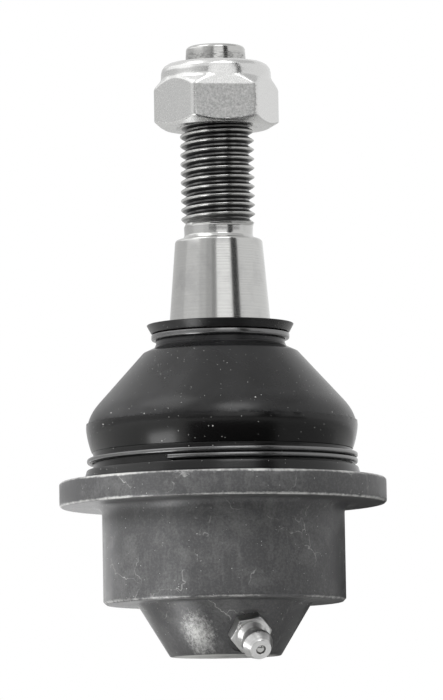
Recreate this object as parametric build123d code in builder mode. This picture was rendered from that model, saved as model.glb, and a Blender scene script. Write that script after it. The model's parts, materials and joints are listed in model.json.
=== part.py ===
from build123d import *
import os
from math import acos, asin, atan2, cos, pi, radians, sin, sqrt

# Flanged press-in suspension ball joint.
# Millimetres and degrees. The origin is the centre of the ball and +Z runs up the stud.
# The stud swings about X, then about Y, then spins about its own axis.

# ---- Motion ----
swing_limit = 18.0
mouth_margin = 1.5
neck_gap = 0.6

# ---- Fits ----
ball_fit = 0.05
seat_fit = 0.05
thread_fit = 0.05
boot_gap = 0.3
clip_gap = 0.1
clip_groove_depth = 0.3

# ---- Ball stud ----
ball_radius = 16.0
ball_flat_radius = 5.0
neck_radius = 8.0
neck_fillet = 1.5
neck_length = 33.9
shoulder_length = 9.0
taper_length = 24.0
taper_small_radius = 9.4
taper_ratio = 1 / 6
taper_edge_round = 0.8
relief_depth = 0.55
relief_length = 3.6
relief_fillet = 1.2
thread_radius = 8.0
thread_length = 33.1
thread_chamfer = 1.0
point_drop = 1.3
point_length = 5.4
point_round = 1.2

# ---- Housing ----
nose_face_radius = 11.9
nose_wall = 4.35
nose_top_radius = 18.8
nose_edge_round = 0.5
barrel_radius = 26.08
barrel_depth = 11.65
barrel_chamfer = 0.65
step_fillet = 1.0
flange_radius = 35.2
flange_lift = 9.35
flange_thickness = 5.45
flange_fillet = 1.8
flange_lower_edge = 0.5
flange_upper_edge = 0.8
collar_wall = 3.8
collar_round = 1.8
bead_groove_depth = 0.6
bearing_ledge = 2.85
lip_thickness = 2.4
lip_overlap = 0.4

# ---- Bearings, preload spring and cover ring ----
seat_wall = 2.55
seat_rim_drop = 2.5
seat_port_radius = 2.5
oil_groove_radius = 0.8
lower_oil_grooves = 2
upper_oil_grooves = 4
bearing_height = 14.0
bearing_edge = 0.6
spring_thickness = 1.2
spring_cone = 0.7
spring_edge_gap = 0.2
cover_thickness = 4.1
cover_chamfer = 1.2

# ---- Rubber boot ----
boot_wall = 2.4
boot_wall_slant = 1.2
boot_base_wall = 2.8
boot_base_lip = 1.8
boot_base_height = 2.5
boot_base_draft = 0.7
boot_bulge = 1.15
boot_bulge_lift = 10.6
boot_bulge_steepness = 3.0
boot_parting_step = 0.25
boot_parting_lift = 1.8
boot_cone_foot_inset = 2.95
boot_cone_foot_lift = 17.0
boot_cone_steepness = 5.0
boot_shoulder_width = 3.0
boot_shoulder_drop = 1.8
boot_shoulder_steepness = 0.2
boot_neck_wall = 2.2
boot_neck_grip = 1.1
boot_neck_length = 1.1
boot_lip_flare = 2.0
boot_lip_height = 1.9
boot_lip_wall = 1.1

# ---- Boot clips ----
lower_clip_width = 1.25
lower_clip_height = 1.1
lower_clip_pitch = 1.3
lower_clip_turns = 1.75
lower_clip_lift = 0.3
lower_clip_end_angle = 246.7
upper_clip_width = 1.2
upper_clip_height = 1.4
upper_clip_mouth = 8.0

# ---- Lock nut ----
nut_across_flats = 24.0
nut_seat_lift = 20.7
nut_hex_height = 10.4
nut_collar_height = 3.6
nut_collar_wall = 1.65
nut_lower_chamfer = 0.6
nut_upper_corner = 0.4
nut_chamfer_angle = 30.0
nut_collar_round = 2.3
nut_corner_angle = 9.0
nut_bore_chamfer = 0.9
nut_mouth_gap = 0.5
nut_mouth_wall = 0.8
insert_wall = 2.1
insert_height = 3.1
insert_fit = 0.02

# ---- Grease fitting ----
fitting_azimuth = -70.0
fitting_depth = 18.3
fitting_hex_across_flats = 8.0
fitting_hex_height = 2.5
fitting_hex_turn = 14.0
fitting_spot_depth = 0.5
fitting_spot_gap = 0.3
fitting_shank_radius = 3.15
fitting_shank_length = 3.4
fitting_neck_radius = 2.5
fitting_neck_length = 2.2
fitting_root_radius = 3.3
fitting_head_radius = 3.3
fitting_head_cone = 1.0
fitting_head_land = 0.9
fitting_nose_length = 2.2
fitting_tip_radius = 2.25
fitting_hole_radius = 1.05
fitting_chamber_radius = 1.35
fitting_seat_depth = 0.5
fitting_ball_radius = 1.25
fitting_spring_radius = 0.95
fitting_spring_wire = 0.14
fitting_spring_turns = 6
fitting_rear_hole_radius = 0.7
fitting_rear_wall = 0.6
grease_bore_radius = 1.4

# ---- Worked-out angles and levels ----
full_tilt = acos(cos(radians(swing_limit)) ** 2)
shoulder_foot_z = neck_length
taper_foot_z = shoulder_foot_z + shoulder_length
taper_top_z = taper_foot_z + taper_length
thread_foot_z = taper_top_z + relief_length
thread_top_z = thread_foot_z + thread_length
stud_top_z = thread_top_z + point_length

relief_radius = thread_radius - relief_depth
point_radius = thread_radius - point_drop

flange_top_z = flange_lift + flange_thickness
bearing_top_z = bearing_height
cover_foot_z = bearing_top_z + spring_thickness + spring_cone
cover_top_z = cover_foot_z + cover_thickness
lip_top_z = cover_top_z + lip_thickness

seat_inner_radius = ball_radius + ball_fit
seat_outer_radius = seat_inner_radius + seat_wall
cavity_radius = seat_outer_radius + seat_fit
nose_depth = cavity_radius + nose_wall
bearing_bore_radius = cavity_radius + bearing_ledge
collar_radius = bearing_bore_radius + collar_wall

nose_slope = atan2(nose_top_radius - nose_face_radius, nose_depth - barrel_depth)


def taper_radius(z):
    """Radius of the stud's cone at height z."""
    return taper_small_radius + (taper_top_z - z) * taper_ratio / 2


def mouth_radius(z):
    """Radius at height z that the fully tilted neck leaves free, with its gap."""
    return (neck_radius + z * sin(full_tilt)) / cos(full_tilt) + neck_gap


def on_sphere(radius, latitude):
    """Profile point of a sphere about the origin, at a latitude in radians."""
    return (radius * cos(latitude), radius * sin(latitude))


def save(builder, name):
    """Label a finished piece and write it as its own STEP file."""
    builder.part.label = name
    export_step(builder.part, f"parts/{name}.step")


os.makedirs("parts", exist_ok=True)

# ---- Ball stud: ball, neck, shoulder, 1:6 cone, relief, thread and dog point ----
ball_flat_z = -sqrt(ball_radius**2 - ball_flat_radius**2)
ball_top_z = sqrt(ball_radius**2 - neck_radius**2)
taper_large_radius = taper_radius(taper_foot_z)

with BuildPart() as ball_stud:
    with BuildSketch(Plane.XZ):
        with BuildLine():
            Line((0, ball_flat_z), (ball_flat_radius, ball_flat_z))
            ThreePointArc(
                (ball_flat_radius, ball_flat_z),
                (ball_radius, 0),
                (neck_radius, ball_top_z),
            )
            FilletPolyline(
                (neck_radius, ball_top_z),
                (neck_radius, shoulder_foot_z),
                (taper_large_radius, taper_foot_z),
                (taper_small_radius, taper_top_z),
                (relief_radius, taper_top_z),
                (relief_radius, thread_foot_z),
                (thread_radius, thread_foot_z + thread_radius - relief_radius),
                (thread_radius, thread_top_z - thread_chamfer),
                (point_radius, thread_top_z),
                (point_radius, stud_top_z),
                (0, stud_top_z),
                radius=[
                    neck_radius, 0, taper_edge_round, relief_fillet, 0, 0, 0, 0,
                    point_round,
                ],
            )
            Line((0, stud_top_z), (0, ball_flat_z))
        make_face()
    revolve(axis=Axis.Z)
    neck_root = ball_stud.edges().filter_by(GeomType.CIRCLE).sort_by(
        lambda edge: abs(edge.center().Z - ball_top_z) + abs(edge.radius - neck_radius)
    )[0]
    fillet(neck_root, neck_fillet)

save(ball_stud, "ball_stud")

# ---- Housing: forged cup with press-in barrel, flange, boot collar and rolled lip ----
nose_direction = Vector(
    cos(nose_slope) * cos(radians(fitting_azimuth)),
    cos(nose_slope) * sin(radians(fitting_azimuth)),
    -sin(nose_slope),
)
fitting_foot_radius = nose_face_radius + (nose_depth - fitting_depth) * (
    (nose_top_radius - nose_face_radius) / (nose_depth - barrel_depth)
)
fitting_foot = Vector(
    fitting_foot_radius * cos(radians(fitting_azimuth)),
    fitting_foot_radius * sin(radians(fitting_azimuth)),
    -fitting_depth,
)
fitting_plane = Plane(
    origin=fitting_foot - nose_direction * fitting_spot_depth,
    x_dir=(-sin(radians(fitting_azimuth)), cos(radians(fitting_azimuth)), 0),
    z_dir=nose_direction,
)
fitting_corner_radius = fitting_hex_across_flats / sqrt(3)

bead_foot_z = flange_top_z + boot_base_height + bead_groove_depth
bead_top_z = bead_foot_z + lower_clip_height * 2
lip_inner_radius = max(
    mouth_radius(lip_top_z), bearing_bore_radius - cover_chamfer - lip_overlap
)

with BuildPart() as housing:
    with BuildSketch(Plane.XZ):
        with BuildLine():
            FilletPolyline(
                (0, -nose_depth),
                (nose_face_radius, -nose_depth),
                (nose_top_radius, -barrel_depth),
                (barrel_radius - barrel_chamfer, -barrel_depth),
                (barrel_radius, -barrel_depth + barrel_chamfer),
                (barrel_radius, flange_lift),
                (flange_radius, flange_lift),
                (flange_radius, flange_top_z),
                (collar_radius, flange_top_z),
                (collar_radius, bead_foot_z),
                (collar_radius - bead_groove_depth, bead_foot_z + bead_groove_depth),
                (collar_radius - bead_groove_depth, bead_top_z - bead_groove_depth),
                (collar_radius, bead_top_z),
                (collar_radius, lip_top_z),
                (lip_inner_radius, lip_top_z),
                radius=[
                    nose_edge_round, step_fillet, 0, 0, flange_fillet,
                    flange_lower_edge, flange_upper_edge, 0, 0, 0, 0, 0,
                    collar_round,
                ],
            )
            Polyline(
                (lip_inner_radius, lip_top_z),
                (lip_inner_radius, cover_top_z),
                (bearing_bore_radius - cover_chamfer, cover_top_z),
                (bearing_bore_radius, cover_top_z - cover_chamfer),
                (bearing_bore_radius, 0),
                (cavity_radius, 0),
            )
            ThreePointArc(
                (cavity_radius, 0),
                on_sphere(cavity_radius, -pi / 4),
                (0, -cavity_radius),
            )
            Line((0, -cavity_radius), (0, -nose_depth))
        make_face()
    revolve(axis=Axis.Z)
    with BuildSketch(fitting_plane):
        Circle(fitting_corner_radius + fitting_spot_gap)
    extrude(amount=fitting_hex_height, mode=Mode.SUBTRACT)
    with BuildSketch(fitting_plane):
        Circle(fitting_shank_radius)
    extrude(amount=-fitting_shank_length, mode=Mode.SUBTRACT)
    with BuildSketch(fitting_plane):
        Circle(grease_bore_radius)
    extrude(amount=-fitting_depth / 2, mode=Mode.SUBTRACT)

save(housing, "housing")

# ---- Lower bearing: a floating hemispherical seat with grease grooves ----
seat_rim_latitude = -radians(swing_limit + seat_rim_drop)

with BuildPart() as lower_bearing:
    with BuildSketch(Plane.XZ):
        with BuildLine():
            ThreePointArc(
                (0, -seat_outer_radius),
                on_sphere(seat_outer_radius, (seat_rim_latitude - pi / 2) / 2),
                on_sphere(seat_outer_radius, seat_rim_latitude),
            )
            Line(
                on_sphere(seat_outer_radius, seat_rim_latitude),
                on_sphere(seat_inner_radius, seat_rim_latitude),
            )
            ThreePointArc(
                on_sphere(seat_inner_radius, seat_rim_latitude),
                on_sphere(seat_inner_radius, (seat_rim_latitude - pi / 2) / 2),
                (0, -seat_inner_radius),
            )
            Line((0, -seat_inner_radius), (0, -seat_outer_radius))
        make_face()
    revolve(axis=Axis.Z)
    for groove in range(lower_oil_grooves):
        groove_plane = Plane.XY.rotated((0, 0, groove * 180 / lower_oil_grooves))
        with BuildSketch(groove_plane):
            with Locations((seat_inner_radius, 0)):
                Circle(oil_groove_radius)
        revolve(axis=Axis((0, 0, 0), groove_plane.y_dir), mode=Mode.SUBTRACT)
    with BuildSketch(Plane.XY):
        Circle(seat_port_radius)
    extrude(amount=-cavity_radius, mode=Mode.SUBTRACT)
    with BuildSketch(fitting_plane):
        Circle(seat_port_radius)
    extrude(amount=-fitting_depth / 2, mode=Mode.SUBTRACT)

save(lower_bearing, "lower_bearing")

# ---- Upper bearing: ring that closes over the ball, with a flared mouth ----
mouth_colatitude = (
    asin((neck_radius + neck_fillet) / (ball_radius + neck_fillet))
    + full_tilt
    + radians(mouth_margin)
)
mouth_latitude = pi / 2 - mouth_colatitude

with BuildPart() as upper_bearing:
    with BuildSketch(Plane.XZ):
        with BuildLine():
            ThreePointArc(
                (seat_inner_radius, 0),
                on_sphere(seat_inner_radius, mouth_latitude / 2),
                on_sphere(seat_inner_radius, mouth_latitude),
            )
            FilletPolyline(
                on_sphere(seat_inner_radius, mouth_latitude),
                (mouth_radius(bearing_top_z), bearing_top_z),
                (bearing_bore_radius, bearing_top_z),
                (bearing_bore_radius, 0),
                (seat_inner_radius, 0),
                radius=[bearing_edge, bearing_edge, bearing_edge],
            )
        make_face()
    revolve(axis=Axis.Z)
    for groove in range(upper_oil_grooves):
        groove_plane = Plane.XY.rotated((0, 0, groove * 180 / upper_oil_grooves))
        with BuildSketch(groove_plane):
            with Locations((seat_inner_radius, 0)):
                Circle(oil_groove_radius)
        revolve(axis=Axis((0, 0, 0), groove_plane.y_dir), mode=Mode.SUBTRACT)

save(upper_bearing, "upper_bearing")

# ---- Preload spring: one disc spring between the upper bearing and the cover ring ----
spring_inner_radius = mouth_radius(cover_foot_z)
spring_outer_radius = bearing_bore_radius - spring_edge_gap

with BuildPart() as preload_spring:
    with BuildSketch(Plane.XZ):
        with BuildLine():
            Polyline(
                (spring_outer_radius, bearing_top_z),
                (spring_outer_radius, bearing_top_z + spring_thickness),
                (spring_inner_radius, cover_foot_z),
                (spring_inner_radius, bearing_top_z + spring_cone),
                close=True,
            )
        make_face()
    revolve(axis=Axis.Z)

save(preload_spring, "preload_spring")

# ---- Cover ring: hardened ring held down by the housing's rolled lip ----
with BuildPart() as cover_ring:
    with BuildSketch(Plane.XZ):
        with BuildLine():
            Polyline(
                (mouth_radius(cover_foot_z), cover_foot_z),
                (bearing_bore_radius, cover_foot_z),
                (bearing_bore_radius, cover_top_z - cover_chamfer),
                (bearing_bore_radius - cover_chamfer, cover_top_z),
                (mouth_radius(cover_top_z), cover_top_z),
                close=True,
            )
        make_face()
    revolve(axis=Axis.Z)

save(cover_ring, "cover_ring")

# ---- Rubber boot: base lip, clip groove, bulge, cone, neck and flared lip ----
boot_foot_z = flange_top_z
boot_waist_radius = collar_radius + boot_base_wall
boot_base_radius = boot_waist_radius + boot_base_lip
boot_bulge_radius = boot_waist_radius + boot_bulge
boot_cone_foot_radius = boot_bulge_radius - boot_cone_foot_inset
boot_neck_radius = taper_large_radius + boot_gap + boot_neck_wall
boot_cone_top_radius = boot_neck_radius + boot_shoulder_width
boot_lip_radius = boot_neck_radius + boot_lip_flare
clip_groove_foot_z = boot_foot_z + boot_base_height
clip_groove_radius = boot_waist_radius - clip_groove_depth
clip_groove_top_z = (
    clip_groove_foot_z
    + lower_clip_lift
    + lower_clip_pitch * lower_clip_turns
    + lower_clip_height
    + clip_gap
)
boot_bulge_z = boot_foot_z + boot_bulge_lift
boot_parting_z = boot_bulge_z + boot_parting_lift
boot_cone_foot_z = boot_foot_z + boot_cone_foot_lift
boot_neck_z = taper_foot_z + boot_neck_grip
boot_cone_top_z = boot_neck_z - boot_shoulder_drop
upper_clip_foot_z = boot_neck_z + boot_neck_length
upper_clip_top_z = upper_clip_foot_z + upper_clip_height
upper_groove_radius = boot_neck_radius - clip_groove_depth
boot_lip_foot_z = upper_clip_top_z + clip_gap
boot_top_z = boot_lip_foot_z + boot_lip_height
boot_collar_top_z = lip_top_z
boot_mouth_radius = taper_radius(boot_lip_foot_z) + boot_gap
boot_wall_run = boot_wall * boot_wall_slant

with BuildPart() as boot:
    with BuildSketch(Plane.XZ):
        with BuildLine():
            Polyline(
                (collar_radius, boot_foot_z),
                (boot_base_radius, boot_foot_z),
                (boot_base_radius - boot_base_draft, clip_groove_foot_z),
                (clip_groove_radius, clip_groove_foot_z),
                (clip_groove_radius, clip_groove_top_z),
                (boot_waist_radius, clip_groove_top_z),
            )
            Spline(
                (boot_waist_radius, clip_groove_top_z),
                (boot_bulge_radius, boot_bulge_z),
                (boot_bulge_radius - boot_parting_step, boot_parting_z),
                tangents=[(1, boot_bulge_steepness), (-1, boot_bulge_steepness)],
            )
            Line(
                (boot_bulge_radius - boot_parting_step, boot_parting_z),
                (boot_bulge_radius - boot_parting_step * 2, boot_parting_z),
            )
            Spline(
                (boot_bulge_radius - boot_parting_step * 2, boot_parting_z),
                (boot_cone_foot_radius, boot_cone_foot_z),
                tangents=[
                    (-1, boot_cone_steepness),
                    (
                        boot_cone_top_radius - boot_cone_foot_radius,
                        boot_cone_top_z - boot_cone_foot_z,
                    ),
                ],
            )
            Line(
                (boot_cone_foot_radius, boot_cone_foot_z),
                (boot_cone_top_radius, boot_cone_top_z),
            )
            Spline(
                (boot_cone_top_radius, boot_cone_top_z),
                (boot_neck_radius, boot_neck_z),
                tangents=[
                    (
                        boot_cone_top_radius - boot_cone_foot_radius,
                        boot_cone_top_z - boot_cone_foot_z,
                    ),
                    (-1, boot_shoulder_steepness),
                ],
            )
            Polyline(
                (boot_neck_radius, boot_neck_z),
                (boot_neck_radius, upper_clip_foot_z),
                (upper_groove_radius, upper_clip_foot_z),
                (upper_groove_radius, boot_lip_foot_z),
                (boot_lip_radius - boot_lip_wall, boot_lip_foot_z),
                (boot_lip_radius, boot_top_z),
                (boot_lip_radius - boot_lip_wall, boot_top_z),
                (boot_mouth_radius, boot_lip_foot_z),
                (taper_large_radius + boot_gap, taper_foot_z),
                (boot_cone_top_radius - boot_wall_run, boot_cone_top_z - boot_wall),
                (boot_cone_foot_radius - boot_wall_run, boot_cone_foot_z - boot_wall / 2),
            )
            Spline(
                (boot_cone_foot_radius - boot_wall_run, boot_cone_foot_z - boot_wall / 2),
                (boot_bulge_radius - boot_wall, boot_bulge_z),
                (collar_radius, boot_collar_top_z),
                tangents=[
                    (
                        boot_cone_foot_radius - boot_cone_top_radius,
                        boot_cone_foot_z - boot_cone_top_z,
                    ),
                    (-1, -1),
                ],
            )
            Polyline(
                (collar_radius, boot_collar_top_z),
                (collar_radius, bead_top_z),
                (collar_radius - bead_groove_depth, bead_top_z - bead_groove_depth),
                (collar_radius - bead_groove_depth, bead_foot_z + bead_groove_depth),
                (collar_radius, bead_foot_z),
                (collar_radius, boot_foot_z),
            )
        make_face()
    revolve(axis=Axis.Z)

save(boot, "boot")

# ---- Lower boot clip: flat wire wound as a helix around the boot's base ----
lower_clip_radius = clip_groove_radius + clip_gap + lower_clip_width / 2
lower_clip_path = Helix(
    pitch=lower_clip_pitch,
    height=lower_clip_pitch * lower_clip_turns,
    radius=lower_clip_radius,
    center=(0, 0, clip_groove_foot_z + lower_clip_lift + lower_clip_height / 2),
).rotate(Axis.Z, lower_clip_end_angle)
lower_clip_section = Plane(
    origin=lower_clip_path @ 0,
    x_dir=(cos(radians(lower_clip_end_angle)), sin(radians(lower_clip_end_angle)), 0),
    z_dir=lower_clip_path % 0,
)

with BuildPart() as boot_lower_clip:
    with BuildSketch(lower_clip_section):
        Rectangle(lower_clip_width, lower_clip_height)
    sweep(path=lower_clip_path, is_frenet=True)

save(boot_lower_clip, "boot_lower_clip")

# ---- Upper boot clip: split ring of flat wire around the boot's neck ----
with BuildPart() as boot_upper_clip:
    with BuildSketch(Plane.XZ.rotated((0, 0, 90 + upper_clip_mouth / 2))):
        with BuildLine():
            Polyline(
                (upper_groove_radius + clip_gap, upper_clip_foot_z),
                (upper_groove_radius + clip_gap + upper_clip_width, upper_clip_foot_z),
                (upper_groove_radius + clip_gap + upper_clip_width, upper_clip_top_z),
                (upper_groove_radius + clip_gap, upper_clip_top_z),
                close=True,
            )
        make_face()
    revolve(axis=Axis.Z, revolution_arc=360 - upper_clip_mouth)

save(boot_upper_clip, "boot_upper_clip")

# ---- Lock nut: chamfered hexagon with a collar rolled over its nylon insert ----
nut_foot_z = thread_foot_z + nut_seat_lift
nut_hex_top_z = nut_foot_z + nut_hex_height
nut_top_z = nut_hex_top_z + nut_collar_height
nut_corner_radius = nut_across_flats / sqrt(3)
nut_bore_radius = thread_radius + thread_fit
nut_chamfer_slope = sin(radians(nut_chamfer_angle)) / cos(radians(nut_chamfer_angle))
insert_foot_z = nut_top_z - nut_mouth_wall - insert_height
insert_top_z = nut_top_z - nut_mouth_wall
insert_outer_radius = nut_bore_radius + insert_wall
nut_collar_radius = insert_outer_radius + nut_collar_wall
nut_lower_chamfer_radius = nut_across_flats / 2 - nut_lower_chamfer
nut_upper_chamfer_radius = nut_across_flats / 2 + nut_upper_corner
nut_mouth_radius = nut_bore_radius + nut_mouth_gap

with BuildPart() as lock_nut:
    with BuildSketch(Plane.XY.offset(nut_foot_z)):
        RegularPolygon(nut_corner_radius, 6, rotation=nut_corner_angle)
    extrude(amount=nut_top_z - nut_foot_z)
    with BuildSketch(Plane.XZ):
        with BuildLine():
            FilletPolyline(
                (nut_bore_radius + nut_bore_chamfer, nut_foot_z),
                (nut_lower_chamfer_radius, nut_foot_z),
                (
                    nut_corner_radius,
                    nut_foot_z
                    + (nut_corner_radius - nut_lower_chamfer_radius) * nut_chamfer_slope,
                ),
                (
                    nut_corner_radius,
                    nut_hex_top_z
                    - (nut_corner_radius - nut_upper_chamfer_radius) * nut_chamfer_slope * 2,
                ),
                (nut_upper_chamfer_radius, nut_hex_top_z),
                (nut_collar_radius, nut_hex_top_z),
                (nut_collar_radius, nut_top_z),
                (nut_mouth_radius, nut_top_z),
                (nut_mouth_radius, insert_top_z),
                (insert_outer_radius, insert_top_z),
                (insert_outer_radius, insert_foot_z),
                (nut_bore_radius, insert_foot_z),
                (nut_bore_radius, nut_foot_z + nut_bore_chamfer),
                radius=[0] * 6 + [nut_collar_round] + [0] * 6,
                close=True,
            )
        make_face()
    revolve(axis=Axis.Z, mode=Mode.INTERSECT)

save(lock_nut, "lock_nut")

# ---- Nylon insert of the lock nut ----
with BuildPart() as nut_insert:
    with BuildSketch(Plane.XY.offset(insert_foot_z)):
        Circle(insert_outer_radius - insert_fit)
        Circle(nut_bore_radius, mode=Mode.SUBTRACT)
    extrude(amount=insert_height)

save(nut_insert, "nut_insert")

# ---- Grease fitting body: shank, hexagon, neck and coupling head ----
fitting_face = fitting_hex_height
fitting_cone_foot = fitting_face + fitting_neck_length
fitting_land_foot = fitting_cone_foot + fitting_head_cone
fitting_land_top = fitting_land_foot + fitting_head_land
fitting_tip = fitting_land_top + fitting_nose_length
fitting_ball_lift = sqrt(fitting_ball_radius**2 - fitting_hole_radius**2)
fitting_ball_height = fitting_tip - fitting_seat_depth - fitting_ball_lift
fitting_chamber_top = fitting_tip - fitting_seat_depth
fitting_profile_plane = Plane(
    origin=fitting_plane.origin,
    x_dir=fitting_plane.x_dir,
    z_dir=fitting_plane.x_dir.cross(fitting_plane.z_dir),
)
fitting_axis = Axis(fitting_plane.origin, fitting_plane.z_dir)

with BuildPart() as fitting_body:
    with BuildSketch(fitting_plane):
        RegularPolygon(fitting_corner_radius, 6, rotation=fitting_hex_turn)
    extrude(amount=fitting_hex_height)
    with BuildSketch(fitting_profile_plane):
        with BuildLine():
            Polyline(
                (0, -fitting_shank_length),
                (fitting_shank_radius, -fitting_shank_length),
                (fitting_shank_radius, fitting_face),
                (fitting_root_radius, fitting_face),
                (fitting_neck_radius, fitting_face + fitting_neck_length / 2),
                (fitting_neck_radius, fitting_cone_foot),
                (fitting_head_radius, fitting_land_foot),
                (fitting_head_radius, fitting_land_top),
                (fitting_tip_radius, fitting_tip),
                (0, fitting_tip),
                close=True,
            )
        make_face()
    revolve(axis=fitting_axis)
    with BuildSketch(fitting_plane.offset(fitting_rear_wall - fitting_shank_length)):
        Circle(fitting_chamber_radius)
    extrude(
        amount=fitting_chamber_top + fitting_shank_length - fitting_rear_wall,
        mode=Mode.SUBTRACT,
    )
    with BuildSketch(fitting_plane.offset(fitting_tip)):
        Circle(fitting_hole_radius)
    extrude(amount=-fitting_seat_depth, mode=Mode.SUBTRACT)
    with BuildSketch(fitting_plane.offset(-fitting_shank_length)):
        Circle(fitting_rear_hole_radius)
    extrude(amount=fitting_rear_wall, mode=Mode.SUBTRACT)

save(fitting_body, "fitting_body")

# ---- Check ball that closes the fitting's tip ----
with BuildPart() as fitting_ball:
    with BuildSketch(fitting_profile_plane):
        with BuildLine():
            Line(
                (0, fitting_ball_height - fitting_ball_radius),
                (0, fitting_ball_height + fitting_ball_radius),
            )
            ThreePointArc(
                (0, fitting_ball_height + fitting_ball_radius),
                (fitting_ball_radius, fitting_ball_height),
                (0, fitting_ball_height - fitting_ball_radius),
            )
        make_face()
    revolve(axis=fitting_axis)

save(fitting_ball, "fitting_ball")

# ---- Coil spring behind the check ball ----
fitting_spring_foot = fitting_rear_wall - fitting_shank_length + fitting_spring_wire
fitting_spring_top = (
    fitting_ball_height
    - sqrt(fitting_ball_radius**2 - fitting_spring_radius**2)
    - fitting_spring_wire
)
fitting_spring_path = Helix(
    pitch=(fitting_spring_top - fitting_spring_foot) / fitting_spring_turns,
    height=fitting_spring_top - fitting_spring_foot,
    radius=fitting_spring_radius,
    center=fitting_plane.origin + fitting_plane.z_dir * fitting_spring_foot,
    direction=fitting_plane.z_dir,
)

with BuildPart() as fitting_spring:
    with BuildSketch(Plane(origin=fitting_spring_path @ 0, z_dir=fitting_spring_path % 0)):
        Circle(fitting_spring_wire)
    sweep(path=fitting_spring_path, is_frenet=True)

save(fitting_spring, "fitting_spring")
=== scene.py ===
import json
from math import atan2, ceil, cos, pi, radians, sin, sqrt, tan

import bmesh
import bpy
from bpy.props import FloatProperty, FloatVectorProperty, IntProperty, PointerProperty
from bpy.types import Operator, Panel, PropertyGroup
from mathutils import Matrix, Vector, noise
from mathutils.geometry import interpolate_bezier


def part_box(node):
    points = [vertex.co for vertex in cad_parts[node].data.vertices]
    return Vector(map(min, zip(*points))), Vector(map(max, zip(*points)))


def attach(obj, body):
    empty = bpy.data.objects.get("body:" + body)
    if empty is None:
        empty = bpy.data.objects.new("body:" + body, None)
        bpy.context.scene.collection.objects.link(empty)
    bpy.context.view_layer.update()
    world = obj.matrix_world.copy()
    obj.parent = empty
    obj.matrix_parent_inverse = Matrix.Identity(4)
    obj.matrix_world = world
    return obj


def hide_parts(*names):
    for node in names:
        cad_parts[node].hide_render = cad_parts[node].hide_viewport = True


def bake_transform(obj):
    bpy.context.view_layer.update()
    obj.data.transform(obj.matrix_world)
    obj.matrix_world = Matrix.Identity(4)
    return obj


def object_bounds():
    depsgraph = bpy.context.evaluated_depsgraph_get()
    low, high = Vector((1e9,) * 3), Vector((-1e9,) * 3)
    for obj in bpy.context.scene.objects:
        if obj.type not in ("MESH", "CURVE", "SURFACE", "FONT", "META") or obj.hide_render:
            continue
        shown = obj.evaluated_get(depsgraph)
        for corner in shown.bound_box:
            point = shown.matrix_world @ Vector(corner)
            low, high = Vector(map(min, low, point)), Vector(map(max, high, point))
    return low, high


bl_info = {
    "name": "Suspension ball joint",
    "version": (1, 0, 0),
    "blender": (4, 5, 0),
    "location": "View3D > Sidebar > Ball joint",
    "description": "Models and finishes a press-in suspension ball joint around its packed solids",
    "category": "Object",
}

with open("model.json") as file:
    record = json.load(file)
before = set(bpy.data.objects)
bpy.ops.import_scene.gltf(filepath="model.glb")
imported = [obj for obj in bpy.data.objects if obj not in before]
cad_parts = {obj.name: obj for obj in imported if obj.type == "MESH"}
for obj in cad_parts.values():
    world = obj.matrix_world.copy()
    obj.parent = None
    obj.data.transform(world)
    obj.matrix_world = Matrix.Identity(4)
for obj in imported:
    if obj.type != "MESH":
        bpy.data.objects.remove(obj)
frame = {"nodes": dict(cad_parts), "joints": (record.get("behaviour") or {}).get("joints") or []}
cad_low, cad_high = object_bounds()

MM = 0.001
WELD = 0.001 * MM
DENTS_ROUND = 11  # Noise cells in a rim's radius
TEARS_ROUND = 40  # The same for the flash on the boot's parting line
FLASH_DEPTH, FLASH_REACH = 0.5 * MM, 0.3 * MM  # Size of the flash that is torn
SEAM = 0.12 * MM  # Gap between a turned blank and its thread, which a bridge closes
UP = Vector((0, 0, 1))
HOUSING_LOW, HOUSING_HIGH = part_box("housing")
STUD_LOW, STUD_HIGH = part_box("ball_stud")
NUT_LOW, NUT_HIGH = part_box("lock_nut")
BOOT_LOW, BOOT_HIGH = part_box("boot")
UPPER_CLIP_LOW, UPPER_CLIP_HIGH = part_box("boot_upper_clip")
LOWER_CLIP_LOW, LOWER_CLIP_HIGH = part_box("boot_lower_clip")
INSERT_LOW, INSERT_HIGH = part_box("nut_insert")
CHECK_BALL_LOW, CHECK_BALL_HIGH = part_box("fitting_ball")


# ---- Values that a user would change ----
def length(name, description, millimetres):
    """A length property, with its default in millimetres."""
    return FloatProperty(
        name=name, description=description, default=millimetres * MM,
        unit="LENGTH", subtype="DISTANCE", precision=5,
    )


def place_of(name, description, millimetres):
    """A place property, with its default in millimetres."""
    return FloatVectorProperty(
        name=name, description=description, default=[value * MM for value in millimetres],
        unit="LENGTH", subtype="TRANSLATION", size=3,
    )


def number(name, description, default, least, kind=FloatProperty, **settings):
    """A plain number property with a lower limit."""
    return kind(name=name, description=description, default=default, min=least, **settings)


def angle(name, description, degrees):
    """An angle property, with its default in degrees."""
    return FloatProperty(
        name=name, description=description, default=radians(degrees),
        unit="ROTATION", subtype="ANGLE",
    )


def linear(hex_colour):
    """Turn an sRGB hex colour into linear red, green, blue and alpha."""
    values = [int(hex_colour[i:i + 2], 16) / 255 for i in (1, 3, 5)]
    flat = [v / 12.92 if v <= 0.04045 else ((v + 0.055) / 1.055) ** 2.4 for v in values]
    return (*flat, 1.0)


def colour(name, description, hex_colour):
    """A colour property, with its default as an sRGB hex value."""
    return FloatVectorProperty(
        name=name, description=description, default=linear(hex_colour),
        subtype="COLOR", size=4, min=0, max=1,
    )


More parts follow.
